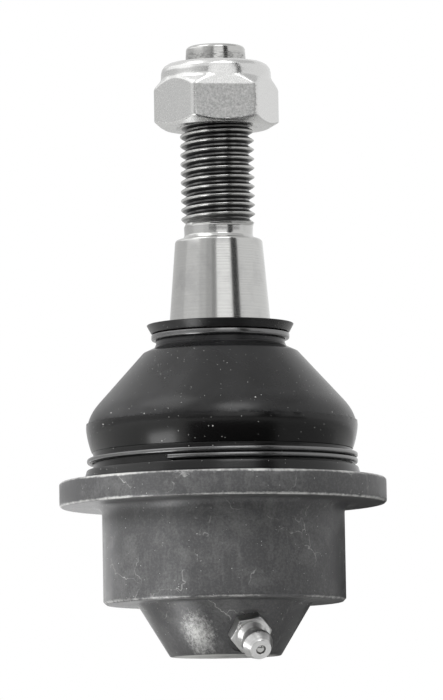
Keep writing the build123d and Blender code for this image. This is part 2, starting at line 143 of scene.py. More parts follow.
class HousingSizes(PropertyGroup):
    nose_face_radius: length("Nose face", "Radius of the flat end of the nose", 11.9)
    nose_top_radius: length("Nose top", "Radius where the nose meets the barrel's step", 18.8)
    barrel_radius: length("Barrel", "Press-fit radius of the barrel", 26.08)
    barrel_foot: length("Barrel foot", "Height of the barrel's lower edge", -11.65)
    barrel_chamfer: length("Lead-in", "Chamfer of the barrel's lower edge", 0.65)
    flange_foot: length("Flange foot", "Height of the flange's underside", 9.35)
    flange_fillet: length("Flange fillet", "Fillet between the barrel and the flange", 1.8)
    flange_edge: length("Flange edge", "Rounding of the flange's worn rims", 0.65)
    nose_edge: length("Nose edge", "Rounding of the nose's lower edge", 0.5)
    barrel_edge: length("Barrel edge", "Rounding of the lead-in's edges", 0.2)
    mouth_edge: length("Mouth edge", "Rounding of the lip's inner edge", 0.3)
    pocket_depth: length("Pocket", "Height of the cut that frees the grease fitting's hexagon", 6)
    step_fillet: length("Step fillet", "Fillet between the nose and the barrel's step", 1.0)
    collar_radius: length("Collar", "Outer radius of the collar inside the boot", 25.3)
    collar_round: length("Rolled lip", "Rounding of the lip rolled over the cover ring", 1.8)
    mouth_radius: length("Mouth", "Radius of the opening that the lip leaves", 20.05)
    cover_top: length("Cover seat", "Height at which the lip holds the cover ring", 20.02)
    cover_chamfer: length("Cover chamfer", "Chamfer of the seat over the cover ring", 1.2)
    bore_radius: length("Bearing bore", "Radius of the bore that holds the bearings", 21.52)
    cavity_radius: length("Cavity", "Radius of the spherical bottom of the bore", 18.65)
    nick_depth: length("Nicks", "Depth of the dents in the flange's rims", 0.32)
    # The nose's pale patch is partly scuffing and partly a painted highlight.
    scuff_and_highlight_place: place_of("Scuff", "Middle of the scuffed patch on the nose", (-5.5, -13, -18))
    scuff_and_highlight_reach: length("Scuff reach", "How far the scuffed patch reaches", 9.5)
    nick_reach: length("Nick reach", "How far a dent reaches from a rim", 0.9)
    row_spacing: length("Row spacing", "Longest step between two rows of the turned mesh", 1.6)
    steps: number("Steps", "Steps in a full turn", 288, 64, IntProperty)


class StudSizes(PropertyGroup):
    ball_radius: length("Ball", "Radius of the ball", 16)
    ball_flat_radius: length("Ball flat", "Radius of the flat under the ball", 5)
    neck_radius: length("Neck", "Radius of the neck above the ball", 8)
    neck_fillet: length("Neck fillet", "Fillet between the ball and its neck", 1.5)
    shoulder_foot: length("Shoulder foot", "Height where the neck starts to widen", 33.9)
    taper_foot: length("Taper foot", "Height of the taper's large end", 42.9)
    taper_top: length("Taper top", "Height of the taper's small end", 66.9)
    taper_small_radius: length("Taper small end", "Radius of the taper's small end", 9.4)
    taper_large_radius: length("Taper large end", "Radius of the taper's large end", 11.4)
    taper_round: length("Taper edge", "Rounding of the taper's upper edge", 0.8)
    relief_radius: length("Relief", "Radius of the plain shank under the thread", 7.45)
    relief_fillet: length("Relief fillet", "Fillet where the shank meets the taper", 2.0)
    relief_flare: length("Relief flare", "How far the shank widens at its foot", 0.45)
    relief_hollow: length("Relief hollow", "How far the shank is hollowed", 0.1)
    relief_edge: length("Relief edge", "Rounding of the shank's foot", 0.15)
    thread_foot: length("Thread foot", "Height where the thread starts", 69.4)
    thread_top: length("Thread top", "Height where the thread ends", 103.6)
    thread_radius: length("Thread crest", "Radius of the thread's crests", 8)
    thread_depth: length("Thread depth", "Depth of the rolled thread", 1.227)
    thread_chamfer: length("Thread chamfer", "Length of the chamfer at the thread's end", 1.2)
    pitch: length("Pitch", "Pitch of the thread", 2)
    point_radius: length("Point", "Radius of the plain point", 6.62)
    point_round: length("Point edge", "Rounding of the point's end", 0.9)
    point_taper: length("Point taper", "How far the point narrows towards its end", 0.25)
    row_spacing: length("Row spacing", "Longest step between two rows of the mesh", 2.5)
    steps: number("Steps", "Steps in a full turn", 128, 48, IntProperty)


class NutSizes(PropertyGroup):
    across_flats: length("Across flats", "Width of the hexagon across its flats", 24)
    corner_turn: angle("Corner turn", "Angle from the X axis to the first corner", 9)
    hexagon_top: length("Hexagon top", "Height where the hexagon ends", 101.6)
    lower_chamfer_radius: length("Washer face", "Radius of the flat seat face", 11.4)
    upper_chamfer_radius: length("Upper chamfer", "Radius where the upper chamfer ends", 11.95)
    collar_radius: length("Collar", "Radius of the collar rolled over the insert", 11.8)
    collar_round: length("Collar round", "Rounding of the rolled collar", 2.15)
    collar_blend: length("Collar blend", "Hollow between the hexagon and the collar", 1.6)
    mouth_radius: length("Mouth", "Radius of the opening in the collar", 8.55)
    mouth_wall: length("Mouth wall", "Thickness of the lip over the insert", 0.8)
    bore_chamfer: length("Bore chamfer", "Chamfer of the thread's mouth", 0.9)
    chamfer_angle: angle("Chamfer angle", "Slope of the hexagon's chamfers", 30)
    face_edge: length("Washer edge", "Rounding of the seat face's edge", 0.3)
    mouth_edge: length("Mouth edge", "Rounding of the collar's inner edge", 0.25)
    insert_gap: length("Insert gap", "Gap around the nylon insert", 0.03)
    crest_cut: length("Crest cut", "How much shallower the nut's thread is", 0.15)
    bore_gap: length("Thread gap", "Clearance to the stud's thread", 0.06)
    corner_softness: length("Corner softness", "Softness of the upright corners", 0.9)
    chamfer_softness: length("Chamfer softness", "Softness of the chamfers' curved edges", 0.45)
    sheared_height: length("Flat height", "Height of the upright part of each flat", 8.1)
    flat_lean: length("Flat lean", "How far the top of a flat leans in", 0.38)
    patch_half: length("Sheared patch", "Half the width of the rough patch on one flat", 6.5)
    patch_aside: length("Patch aside", "How far the patch sits to the right on its flat", 0.2)
    row_spacing: length("Row spacing", "Longest step between two rows of the mesh", 0.26)
    steps: number("Steps", "Steps in a full turn", 384, 96, IntProperty)


class BootSizes(PropertyGroup):
    wall: length("Wall", "Thickness of the rubber in the bulge", 2.4)
    cone_wall: length("Cone wall", "Thickness of the rubber in the straight cone", 1.9)
    base_radius: length("Base", "Radius of the lip on the flange", 29.9)
    base_top_radius: length("Base top", "Radius of the lip's upper edge", 29.2)
    base_top: length("Base top height", "Height of the lip's upper edge", 17.3)
    groove_radius: length("Clip groove", "Radius of the lower clip's groove", 27.8)
    base_edge: length("Base edge", "Rounding of the base lip's lower edge", 0.25)
    base_round: length("Base round", "Rounding of the base lip's upper edge", 0.3)
    groove_edge: length("Groove edge", "Rounding of the clip groove's corners", 0.15)
    parting_drop: length("Parting drop", "How far the bulge narrows to the parting line", 0.06)
    neck_flare: length("Neck flare", "How far the rubber widens under the neck", 0.5)
    groove_top: length("Groove top", "Height where the clip groove ends", 21.075)
    waist_radius: length("Waist", "Radius just above the clip groove", 28.1)
    bulge_radius: length("Bulge", "Largest radius of the bellows", 29.25)
    bulge_height: length("Bulge height", "Height of the largest radius", 26.4)
    parting_height: length("Parting height", "Height of the mould's parting line", 27.2)
    parting_step: length("Parting step", "Step of the wall at the parting line", 0.32)
    parting_tear: length("Parting tear", "Unevenness of the torn flash", 0.16)
    cone_foot_radius: length("Cone foot", "Radius at the foot of the straight cone", 26.3)
    cone_foot: length("Cone foot height", "Height of the foot of the straight cone", 31.8)
    cone_top_radius: length("Cone top", "Radius at the top of the cone", 16.9)
    cone_top: length("Cone top height", "Height of the top of the cone", 42.2)
    shoulder_round: length("Shoulder", "Rounding of the shoulder under the neck", 0.9)
    neck_radius: length("Neck", "Radius of the neck", 13.9)
    neck_foot: length("Neck foot", "Height of the neck's foot", 43.9)
    neck_bead: length("Neck bead", "Moulded line around the neck's foot", 0.16)
    clip_groove_depth: length("Groove depth", "Depth of the upper clip's groove", 0.3)
    lip_radius: length("Lip", "Radius of the flared lip", 15.9)
    lip_edge: length("Lip edge", "Rounding of the lip's edges", 0.12)
    lip_wall: length("Lip wall", "Thickness of the flared lip", 1.0)
    lip_foot: length("Lip foot", "Height of the lip's foot", 46.6)
    grip_gap: length("Grip gap", "Gap between the rubber and the taper", 0.3)
    collar_radius: length("Collar seat", "Radius that sits on the housing's collar", 25.3)
    joint_height: length("Swing line", "Height at which the two swings meet", 33)
    swing_foot: length("Swing foot", "Height below which the rubber stays still", 19)
    swing_top: length("Swing top", "Height above which the rubber moves with the stud", 43.2)
    row_spacing: length("Row spacing", "Longest step between two rows of the mesh", 0.8)
    steps: number("Steps", "Steps in a full turn", 240, 64, IntProperty)


class ClipSizes(PropertyGroup):
    lower_height: length("Wire height", "Height of the lower clip's flat wire", 1.1)
    lower_width: length("Wire width", "Width of the lower clip's flat wire", 1.25)
    lower_pitch: length("Wire pitch", "Rise of the lower clip in one turn", 1.3)
    lower_sweep: angle("Sweep", "How far the lower clip winds round", 630)
    lower_start: angle("Start", "Angle at which the lower clip starts", 246.7)
    upper_mouth: angle("Mouth", "Gap between the ends of the upper clip", 8)
    wire_round: length("Wire edge", "Rounding of the wires' edges", 0.42)
    upper_width: length("Ring width", "Width of the upper clip's wire", 1.2)
    end_bevel: length("Cut end", "Bevel of the cut ends", 0.12)
    steps: number("Steps", "Steps in a full turn", 192, 64, IntProperty)


class FittingSizes(PropertyGroup):
    shank_radius: length("Shank", "Radius of the shank in the housing", 3.15)
    shank_length: length("Shank length", "Length of the shank", 3.4)
    across_flats: length("Across flats", "Width of the fitting's hexagon", 8)
    hexagon_height: length("Hexagon height", "Height of the fitting's hexagon", 2.5)
    hexagon_turn: angle("Hexagon turn", "Angle of the hexagon's first corner", 14)
    hexagon_chamfer: length("Hexagon chamfer", "Chamfer of the hexagon's corners", 0.5)
    corner_softness: length("Corner softness", "Softness of the hexagon's corners", 0.25)
    chamfer_softness: length("Chamfer softness", "Softness of the chamfer's edge", 0.1)
    root_radius: length("Root", "Radius at the hexagon's face", 3.3)
    root_height: length("Root height", "Height of the hollow over the hexagon", 1.1)
    neck_fillet: length("Neck fillet", "Fillet between the root and the neck", 0.6)
    shank_edge: length("Shank edge", "Rounding of the shank's end", 0.3)
    broken_edge: length("Broken edge", "Rounding of the neck's and the tip's edges", 0.2)
    fine_edge: length("Fine edge", "Rounding of the hexagon's face and of the hole", 0.12)
    head_edge: length("Head edge", "Rounding of the head's lower edge", 0.18)
    head_round: length("Head round", "Rounding of the head's upper edge", 0.25)
    neck_radius: length("Neck", "Radius of the neck", 2.5)
    neck_top: length("Neck top", "Distance of the neck's end from the seat", 4.7)
    head_radius: length("Head", "Radius of the coupling head", 3.3)
    head_foot: length("Head foot", "Distance of the head's edge from the seat", 5.7)
    head_top: length("Head top", "Distance of the head's upper edge from the seat", 6.6)
    tip: length("Tip", "Distance of the tip from the seat", 8.8)
    tip_radius: length("Tip radius", "Radius of the flat tip", 2.25)
    hole_radius: length("Hole", "Radius of the hole in the tip", 1.05)
    hole_depth: length("Hole depth", "Depth of the hole's narrow end", 0.5)
    chamber_radius: length("Chamber", "Radius of the chamber behind the ball", 1.35)
    chamber_foot: length("Chamber foot", "Distance of the chamber's end from the seat", -2.8)
    spring_radius: length("Spring", "Radius of the spring behind the check ball", 0.95)
    spring_wire: length("Spring wire", "Thickness of the coil spring's wire", 0.28)
    spring_turns: number("Spring turns", "Turns of the coil spring", 6, 2, IntProperty)
    ball_height: length("Ball height", "Distance of the check ball from the seat", 7.622)
    pocket_gap: length("Pocket gap", "Gap around the hexagon in its pocket", 0.6)
    row_spacing: length("Row spacing", "Longest step between two rows of the mesh", 0.15)
    steps: number("Steps", "Steps in a full turn", 144, 48, IntProperty)


class Finishes(PropertyGroup):
    forging: colour("Forging", "Phosphated and oiled forging", "#4C4C4D")
    forging_stain: colour("Forging stain", "Dried oil and handling marks", "#7A7A7A")
    # Bare worn steel, also used for the nose's patch, which is partly a painted highlight.
    worn_steel_and_highlight: colour("Worn steel", "Steel rubbed bare on the rims", "#C6C6C4")
    steel: colour("Turned steel", "Bare turned steel", "#C0C0BE")
    # Dark steel for scuffs and torn edges, also painted on the thread's flanks as shade.
    dark_steel_and_flank_shade: colour("Thread flank", "Rolled and blackened thread flank", "#535353")
    zinc: colour("Zinc", "Bright zinc plate", "#CFCFCE")
    zinc_rough: colour("Sheared zinc", "Zinc over a sheared face", "#7C7C7C")
    rubber: colour("Rubber", "Moulded black rubber", "#0C0C0C")
    rubber_bloom: colour("Rubber bloom", "Dull bloom on the rubber", "#262627")
    dust: colour("Dust", "Specks of dust on the rubber", "#C8C8C6")
    wire: colour("Clip wire", "Blackened spring wire", "#101011")
    nylon: colour("Nylon", "Natural nylon insert", "#E3E1D8")
    sinter: colour("Sintered iron", "Oil-soaked sintered iron", "#6A6763")
    spring: colour("Spring steel", "Hardened and tempered strip", "#8C8C8E")
    floor: colour("Floor", "Pale studio floor", "#EEEEED")


class StageSettings(PropertyGroup):
    focal_length: number("Focal length", "Focal length of the lens", 285.2, 10, unit="CAMERA")
    camera_distance: length("Camera distance", "Distance from the stud's axis to the camera", 1190)
    camera_height: length("Camera height", "Height of the camera over the ball's centre", -72)
    camera_pitch: angle("Camera pitch", "How far the camera looks up", 5.52)
    camera_roll: angle("Camera roll", "How far the camera is rolled", -0.98)
    floor_radius: length("Floor radius", "Radius of the floor", 3000)
    floor_gap: length("Floor gap", "Gap between the part and the floor", 3)
    camera_aside: length("Camera aside", "How far the camera stands to the right", 0.2)
    room_light: number("Room light", "Brightness of the room's soft light", 0.6, 0)
    key_power: number("Key power", "Power of the key light", 23, 0, unit="POWER")
    key_size: length("Key size", "Width of the key light", 500)
    key_place: place_of("Key place", "Where the key light stands", (-1300, -800, 750))


# ---- Modelling helpers ----
def deselect_all():
    """Leave every object unselected."""
    bpy.ops.object.select_all(action="DESELECT")


def make_active(*pieces):
    """Select these pieces alone and make the first one active."""
    deselect_all()
    for piece in pieces:
        piece.select_set(True)
    bpy.context.view_layer.objects.active = pieces[0]


def pick(piece, kind, test):
    """In edit mode, select the vertices, edges or faces that pass the test, and count them."""
    mesh = bmesh.from_edit_mesh(piece.data)
    for part in (*mesh.faces, *mesh.edges, *mesh.verts):
        part.select_set(False)
    chosen = [part for part in getattr(mesh, kind) if test(part)]
    for part in chosen:
        part.select_set(True)
    bmesh.update_edit_mesh(piece.data)
    return len(chosen)


def at(place):
    """A test that picks the vertex at a place."""
    return lambda vertex: (vertex.co - place).length < WELD


def outline(name, corners, closed=False, spacing=None, round_steps=4):
    """Draw an outline in the XZ plane, in edit mode.

    A corner is a radius and a height, and the radius of its rounding where it has one.
    """
    deselect_all()
    bpy.ops.mesh.primitive_plane_add(size=MM)
    piece = bpy.context.object
    piece.name = piece.data.name = name
    places = [Vector((corner[0], 0, corner[1])) for corner in corners]
    bpy.ops.object.mode_set(mode="EDIT")
    bpy.ops.mesh.select_mode(type="VERT")
    bpy.ops.mesh.merge(type="CENTER")
    bpy.ops.transform.translate(value=places[0])
    for before, after in zip(places, places[1:]):
        bpy.ops.mesh.extrude_vertices_move(TRANSFORM_OT_translate={"value": after - before})
    if closed:
        pick(piece, "verts", lambda v: at(places[0])(v) or at(places[-1])(v))
        bpy.ops.mesh.edge_face_add()
    for index, corner in enumerate(corners):
        if len(corner) > 2 and corner[2]:
            before = places[index] - places[index - 1]
            after = places[(index + 1) % len(places)] - places[index]
            pick(piece, "verts", at(places[index]))
            bpy.ops.mesh.bevel(
                offset=corner[2] * tan(before.angle(after) / 2),
                segments=round_steps, affect="VERTICES",
            )
    if spacing:
        while pick(piece, "edges", lambda edge: edge.calc_length() > spacing):
            bpy.ops.mesh.subdivide(number_cuts=1)
    return piece


def spin(piece, steps, sweep=2 * pi):
    """Spin the outline in edit mode about the Z axis, anticlockwise from above, and close it."""
    bpy.ops.mesh.select_all(action="SELECT")
    bpy.ops.mesh.spin(
        steps=steps, angle=sweep, center=(0, 0, 0), axis=(0, 0, -1), use_auto_merge=True
    )
    tidy_faces()
    bpy.ops.object.mode_set(mode="OBJECT")
    return piece


def tidy_faces():
    """Weld doubles and turn every face outwards, in edit mode."""
    bpy.ops.mesh.select_all(action="SELECT")
    bpy.ops.mesh.remove_doubles(threshold=WELD)
    bpy.ops.mesh.normals_make_consistent(inside=False)


def turned(name, corners, steps, closed=False, spacing=None, round_steps=4):
    """A solid of revolution from the corners of its outline."""
    return spin(outline(name, corners, closed, spacing, round_steps), steps)


def arc(radius, start, end, count):
    """Points of an arc about the origin, from one latitude to another."""
    turns = [start + (end - start) * step / count for step in range(count + 1)]
    return [(radius * cos(turn), radius * sin(turn)) for turn in turns]


def curve(start, start_handle, end_handle, end, count):
    """Points between two ends of a smooth curve, drawn towards two handles."""
    handles = [Vector((r, 0, z)) for r, z in (start, start_handle, end_handle, end)]
    return [(point.x, point.z) for point in interpolate_bezier(*handles, count)[1:-1]]


def smooth_step(value):
    """Ease from 0 to 1."""
    value = min(max(value, 0), 1)
    return value * value * (3 - 2 * value)


def soft_min(first, second, softness):
    """The smaller of two lengths, rounded off where they meet."""
    overlap = max(softness - abs(first - second), 0) / softness
    return min(first, second) - overlap * overlap * softness / 4


def reshape(piece, new_radius):
    """Move each vertex to the radius that the function gives for (radius, turn, height)."""
    for vertex in piece.data.vertices:
        radius = vertex.co.xy.length
        if radius > WELD:
            turn = atan2(vertex.co.y, vertex.co.x)
            vertex.co.xy *= new_radius(radius, turn, vertex.co.z) / radius


def hexagon_radius(turn, flat, first_corner, softness):
    """Radius of a hexagon with soft corners, in a direction."""
    from_flat = (turn - first_corner) % (pi / 3) - pi / 6
    near = flat / cos(from_flat)
    far = flat / cos(pi / 3 - abs(from_flat))
    return soft_min(near, far, softness)


def place(piece, matrix):
    """Move the piece's mesh by a matrix and leave its object at the origin."""
    piece.data.transform(matrix)
    piece.data.update()


def wind(piece, sweep, rise, steps, rounds=1):
    """Wind the outline about the Z axis, rising with each round, and leave edit mode."""
    bpy.ops.object.mode_set(mode="OBJECT")
    screw = piece.modifiers.new("Wind", "SCREW")
    screw.axis = "Z"
    screw.angle = sweep
    screw.screw_offset = rise
    screw.steps = screw.render_steps = steps
    screw.iterations = rounds
    bpy.ops.object.modifier_apply(modifier=screw.name)


def drill(piece, seat, radius, foot, top, steps):
    """Cut a round hole between two heights over a seat."""
    bpy.ops.mesh.primitive_cylinder_add(vertices=steps, radius=radius, depth=top - foot)
    cutter = bpy.context.object
    place(cutter, seat @ Matrix.Translation((0, 0, (foot + top) / 2)))
    make_active(piece)
    hole = piece.modifiers.new("Hole", "BOOLEAN")
    hole.operation = "DIFFERENCE"
    hole.solver = "EXACT"
    hole.object = cutter
    bpy.ops.object.modifier_apply(modifier=hole.name)
    bpy.data.objects.remove(cutter)


def join_at(seams, *pieces):
    """Join the pieces and bridge the two open loops that lie between each pair of heights."""
    make_active(*pieces)
    bpy.ops.object.join()
    bpy.ops.object.mode_set(mode="EDIT")
    for low, high in seams:
        pick(pieces[0], "edges", lambda edge: edge.is_boundary and all(
            low <= vertex.co.z <= high for vertex in edge.verts))
        bpy.ops.mesh.bridge_edge_loops()
    tidy_faces()
    bpy.ops.object.mode_set(mode="OBJECT")
    return pieces[0]


def finish_piece(piece, material, body, nodes, sharp=35):
    """Shade the piece, give it its material, and let it stand for its CAD nodes on a body."""
    make_active(piece)
    bpy.ops.object.shade_smooth_by_angle(angle=radians(sharp))
    piece.data.materials.clear()
    piece.data.materials.append(material)
    if body:
        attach(piece, body)
    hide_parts(*nodes)


# ---- Materials ----
def add(tree, kind, values=(), **settings):
    """Add a node with its settings, and fill its inputs, in order or by name."""
    node = tree.nodes.new("ShaderNode" + kind)
    for name, value in settings.items():
        setattr(node, name, value)
    if not isinstance(values, dict):
        open_inputs = [index for index, socket in enumerate(node.inputs) if socket.enabled]
        values = dict(zip(open_inputs, values))
    for name, value in values.items():
        if isinstance(value, bpy.types.Node):
            value = next(socket for socket in value.outputs if socket.enabled)
        if isinstance(value, bpy.types.NodeSocket):
            tree.links.new(value, node.inputs[name])
        else:
            node.inputs[name].default_value = value
    return node


def build(owner, surface, *values):
    """Build the nodes of a material or world afresh, ending in what a function gives."""
    owner.use_nodes = True
    tree = owner.node_tree
    tree.nodes.clear()
    output = "OutputWorld" if isinstance(owner, bpy.types.World) else "OutputMaterial"
    add(tree, output, (surface(tree, *values),))
    return owner


def make_material(name, surface, *values):
    """A new material with the surface that a function gives."""
    return build(bpy.data.materials.new(name), surface, *values)


def per_metre(millimetres):
    """Texture scale whose features measure this many millimetres."""
    return 1 / (millimetres * MM)


def round_axis(tree, where):
    """Distance of a place from the Z axis, and its height."""
    flat = add(tree, "VectorMath", (where, (1, 1, 0)), operation="MULTIPLY")
    radius = add(tree, "VectorMath", (flat,), operation="LENGTH").outputs["Value"]
    return radius, add(tree, "SeparateXYZ", (where,)).outputs["Z"]


def tool_lines(tree, distance, spacing, values):
    """Uneven lines, about this many millimetres apart, as a tool or a roll leaves them."""
    turns = add(tree, "Math", (distance, per_metre(spacing)), operation="MULTIPLY")
    values = {"W": turns, "Scale": 1.0, **values}
    return add(tree, "TexNoise", values, noise_dimensions="1D")


def specks(tree, where, spacing, chance, size):
    """Scattered round specks: 1 inside a speck, where chance of the cells hold one."""
    cells = add(tree, "TexVoronoi", {"Vector": where, "Scale": per_metre(spacing)})
    draw = add(tree, "SeparateColor", (cells.outputs["Color"],))
    reach = add(tree, "MapRange", (draw.outputs[0], 1 - chance, 1, 0, size / spacing))
    return add(tree, "Math", (cells.outputs["Distance"], reach), operation="LESS_THAN")


def rim_wear(tree, where, rims):
    """Shade of 0 to 1 along rims, broken up by knocks.

    A rim is a radius, a height, how far the wear reaches and how strong it is.
    """
    radius, height = round_axis(tree, where)
    knocks = add(tree, "TexNoise", {
        "Vector": where, "Scale": per_metre(1.3), "Detail": 6.0, "Roughness": 0.7,
    })
    lengths = add(tree, "TexNoise", {"Vector": where, "Scale": per_metre(16), "Detail": 1.0})
    total = 0.0
    for rim_radius, rim_height, reach, strength in rims:
        out = add(tree, "Math", (radius, rim_radius), operation="SUBTRACT")
        up = add(tree, "Math", (height, rim_height), operation="SUBTRACT")
        from_rim = add(tree, "CombineXYZ", (out, up))
        apart = add(tree, "VectorMath", (from_rim,), operation="LENGTH").outputs["Value"]
        near = add(tree, "MapRange", (apart, 0, reach, strength, 0))
        total = add(tree, "Math", (near, total), operation="MAXIMUM")
    uneven = add(tree, "Math", (knocks, lengths), operation="MULTIPLY")
    chipped = add(tree, "Math", (total, uneven), operation="MULTIPLY")
    return add(tree, "MapRange", (chipped, 0.19, 0.38, 0, 1))


# A forging dipped in manganese phosphate and oiled: a dark, dull, fine-grained grey that shows
# handling marks and dried oil as paler clouds and runs, and is rubbed bright along its rims.
def phosphated_forging(tree, finish, sizes):
    where = add(tree, "TexCoord").outputs["Object"]
    cloud = add(tree, "TexNoise", {
        "Vector": where, "Scale": per_metre(8), "Detail": 8.0, "Roughness": 0.66,
        "Distortion": 0.5,
    })
    long_runs = add(tree, "Mapping", {"Vector": where, "Scale": (1, 1, 0.22)})
    runs = add(tree, "TexNoise", {
        "Vector": long_runs, "Scale": per_metre(4.5), "Detail": 5.0, "Roughness": 0.7,
    })
    grain = add(tree, "TexNoise", {
        "Vector": where, "Scale": per_metre(0.5), "Detail": 3.0, "Roughness": 0.75,
    })
    stain = add(tree, "MapRange", (cloud, 0.48, 0.78, 0, 0.62))
    run_stain = add(tree, "MapRange", (runs, 0.52, 0.75, 0, 0.5))
    grain_stain = add(tree, "MapRange", (grain, 0.3, 0.75, -0.2, 0.36), clamp=False)
    marks = add(tree, "Math", (stain, run_stain), operation="MAXIMUM")
    marks = add(tree, "Math", (marks, grain_stain), operation="ADD", use_clamp=True)
    base = add(tree, "Mix", (marks, finish.forging, finish.forging_stain), data_type="RGBA")

    # Fine branching scratches follow the edges of bent cells and show only inside the clouds.
    bend = add(tree, "TexNoise", {"Vector": where, "Scale": per_metre(6), "Detail": 3.0})
    bent = (bend.outputs["Color"], (10 * MM,) * 3, where)
    bent = add(tree, "VectorMath", bent, operation="MULTIPLY_ADD")
    cells = {"Vector": bent, "Scale": per_metre(15)}
    cells = add(tree, "TexVoronoi", cells, feature="DISTANCE_TO_EDGE")
    aside = add(tree, "Math", (cells.outputs["Distance"], 0.006), operation="LESS_THAN")
    seen = add(tree, "MapRange", (cloud, 0.5, 0.64, 0, 0.45))
    scratch = add(tree, "Math", (aside, seen), operation="MULTIPLY")
    base = add(tree, "Mix", (scratch, base, finish.worn_steel_and_highlight), data_type="RGBA")

    # The nose carries a pale patch on its front-left, streaked upright: partly scuffs from sliding
    # through the works, and partly a painted highlight where a light's reflection falls.
    from_scuff_and_highlight = add(tree, "VectorMath", (where, sizes.scuff_and_highlight_place), operation="SUBTRACT")
    from_scuff_and_highlight = add(tree, "VectorMath", (from_scuff_and_highlight, (1, 1, 0.45)), operation="MULTIPLY")
    from_scuff_and_highlight = add(tree, "VectorMath", (from_scuff_and_highlight,), operation="LENGTH").outputs["Value"]
    near_scuff_and_highlight = add(tree, "MapRange", (from_scuff_and_highlight, 0, sizes.scuff_and_highlight_reach, 1, 0))
    scuff_noise = add(tree, "TexNoise", {
        "Vector": add(tree, "Mapping", {"Vector": where, "Scale": (1, 1, 0.55)}),
        "Scale": per_metre(0.8), "Detail": 6.0, "Roughness": 0.92,
    })
    scuff_and_highlight = add(tree, "Math", (near_scuff_and_highlight, scuff_noise), operation="MULTIPLY")
    scuff_and_highlight = add(tree, "MapRange", (scuff_and_highlight, 0.3, 0.5, 0, 0.95))
    inset, reach = 0.2 * MM, 0.9 * MM
    rim_radius = HOUSING_HIGH.x - inset
    worn = rim_wear(tree, where, (
        (rim_radius, BOOT_LOW.z - inset, reach, 1.3),
        (rim_radius, sizes.flange_foot + inset, reach, 1.3),
        (sizes.barrel_radius - 0.4 * MM, sizes.barrel_foot + 0.45 * MM, 1.0 * MM, 1.4),
        (sizes.nose_face_radius / 2, HOUSING_LOW.z, 6.5 * MM, 5.0),
    ))
    # Worn rims, dust and the nose's patch, part of it a painted highlight, take the pale worn
    # steel.
    bare = add(tree, "Math", (worn, scuff_and_highlight), operation="MAXIMUM")
    dust = specks(tree, where, 0.8, 0.5, 0.1)
    pale_spots_and_highlight = add(tree, "Math", (bare, dust), operation="MAXIMUM")
    base = add(tree, "Mix", (pale_spots_and_highlight, base, finish.worn_steel_and_highlight), data_type="RGBA")
    pits = specks(tree, where, 5, 0.5, 0.4)
    relief = add(tree, "Math", (cloud, 0.5, grain), operation="MULTIPLY_ADD")
    relief = add(tree, "Math", (pits, -3.0, relief), operation="MULTIPLY_ADD")
    return add(tree, "BsdfPrincipled", {
        "Base Color": add(tree, "Mix", (pits, base, finish.wire), data_type="RGBA"),
        "Metallic": add(tree, "MapRange", (bare, 0, 1, 0.15, 0.4)),
        "Roughness": add(tree, "MapRange", (grain, 0.3, 0.7, 0.34, 0.5)),
        "Normal": add(tree, "Bump", {
            "Strength": 0.45, "Distance": 0.035 * MM, "Height": relief,
        }),
        "Specular IOR Level": 0.4,
    })


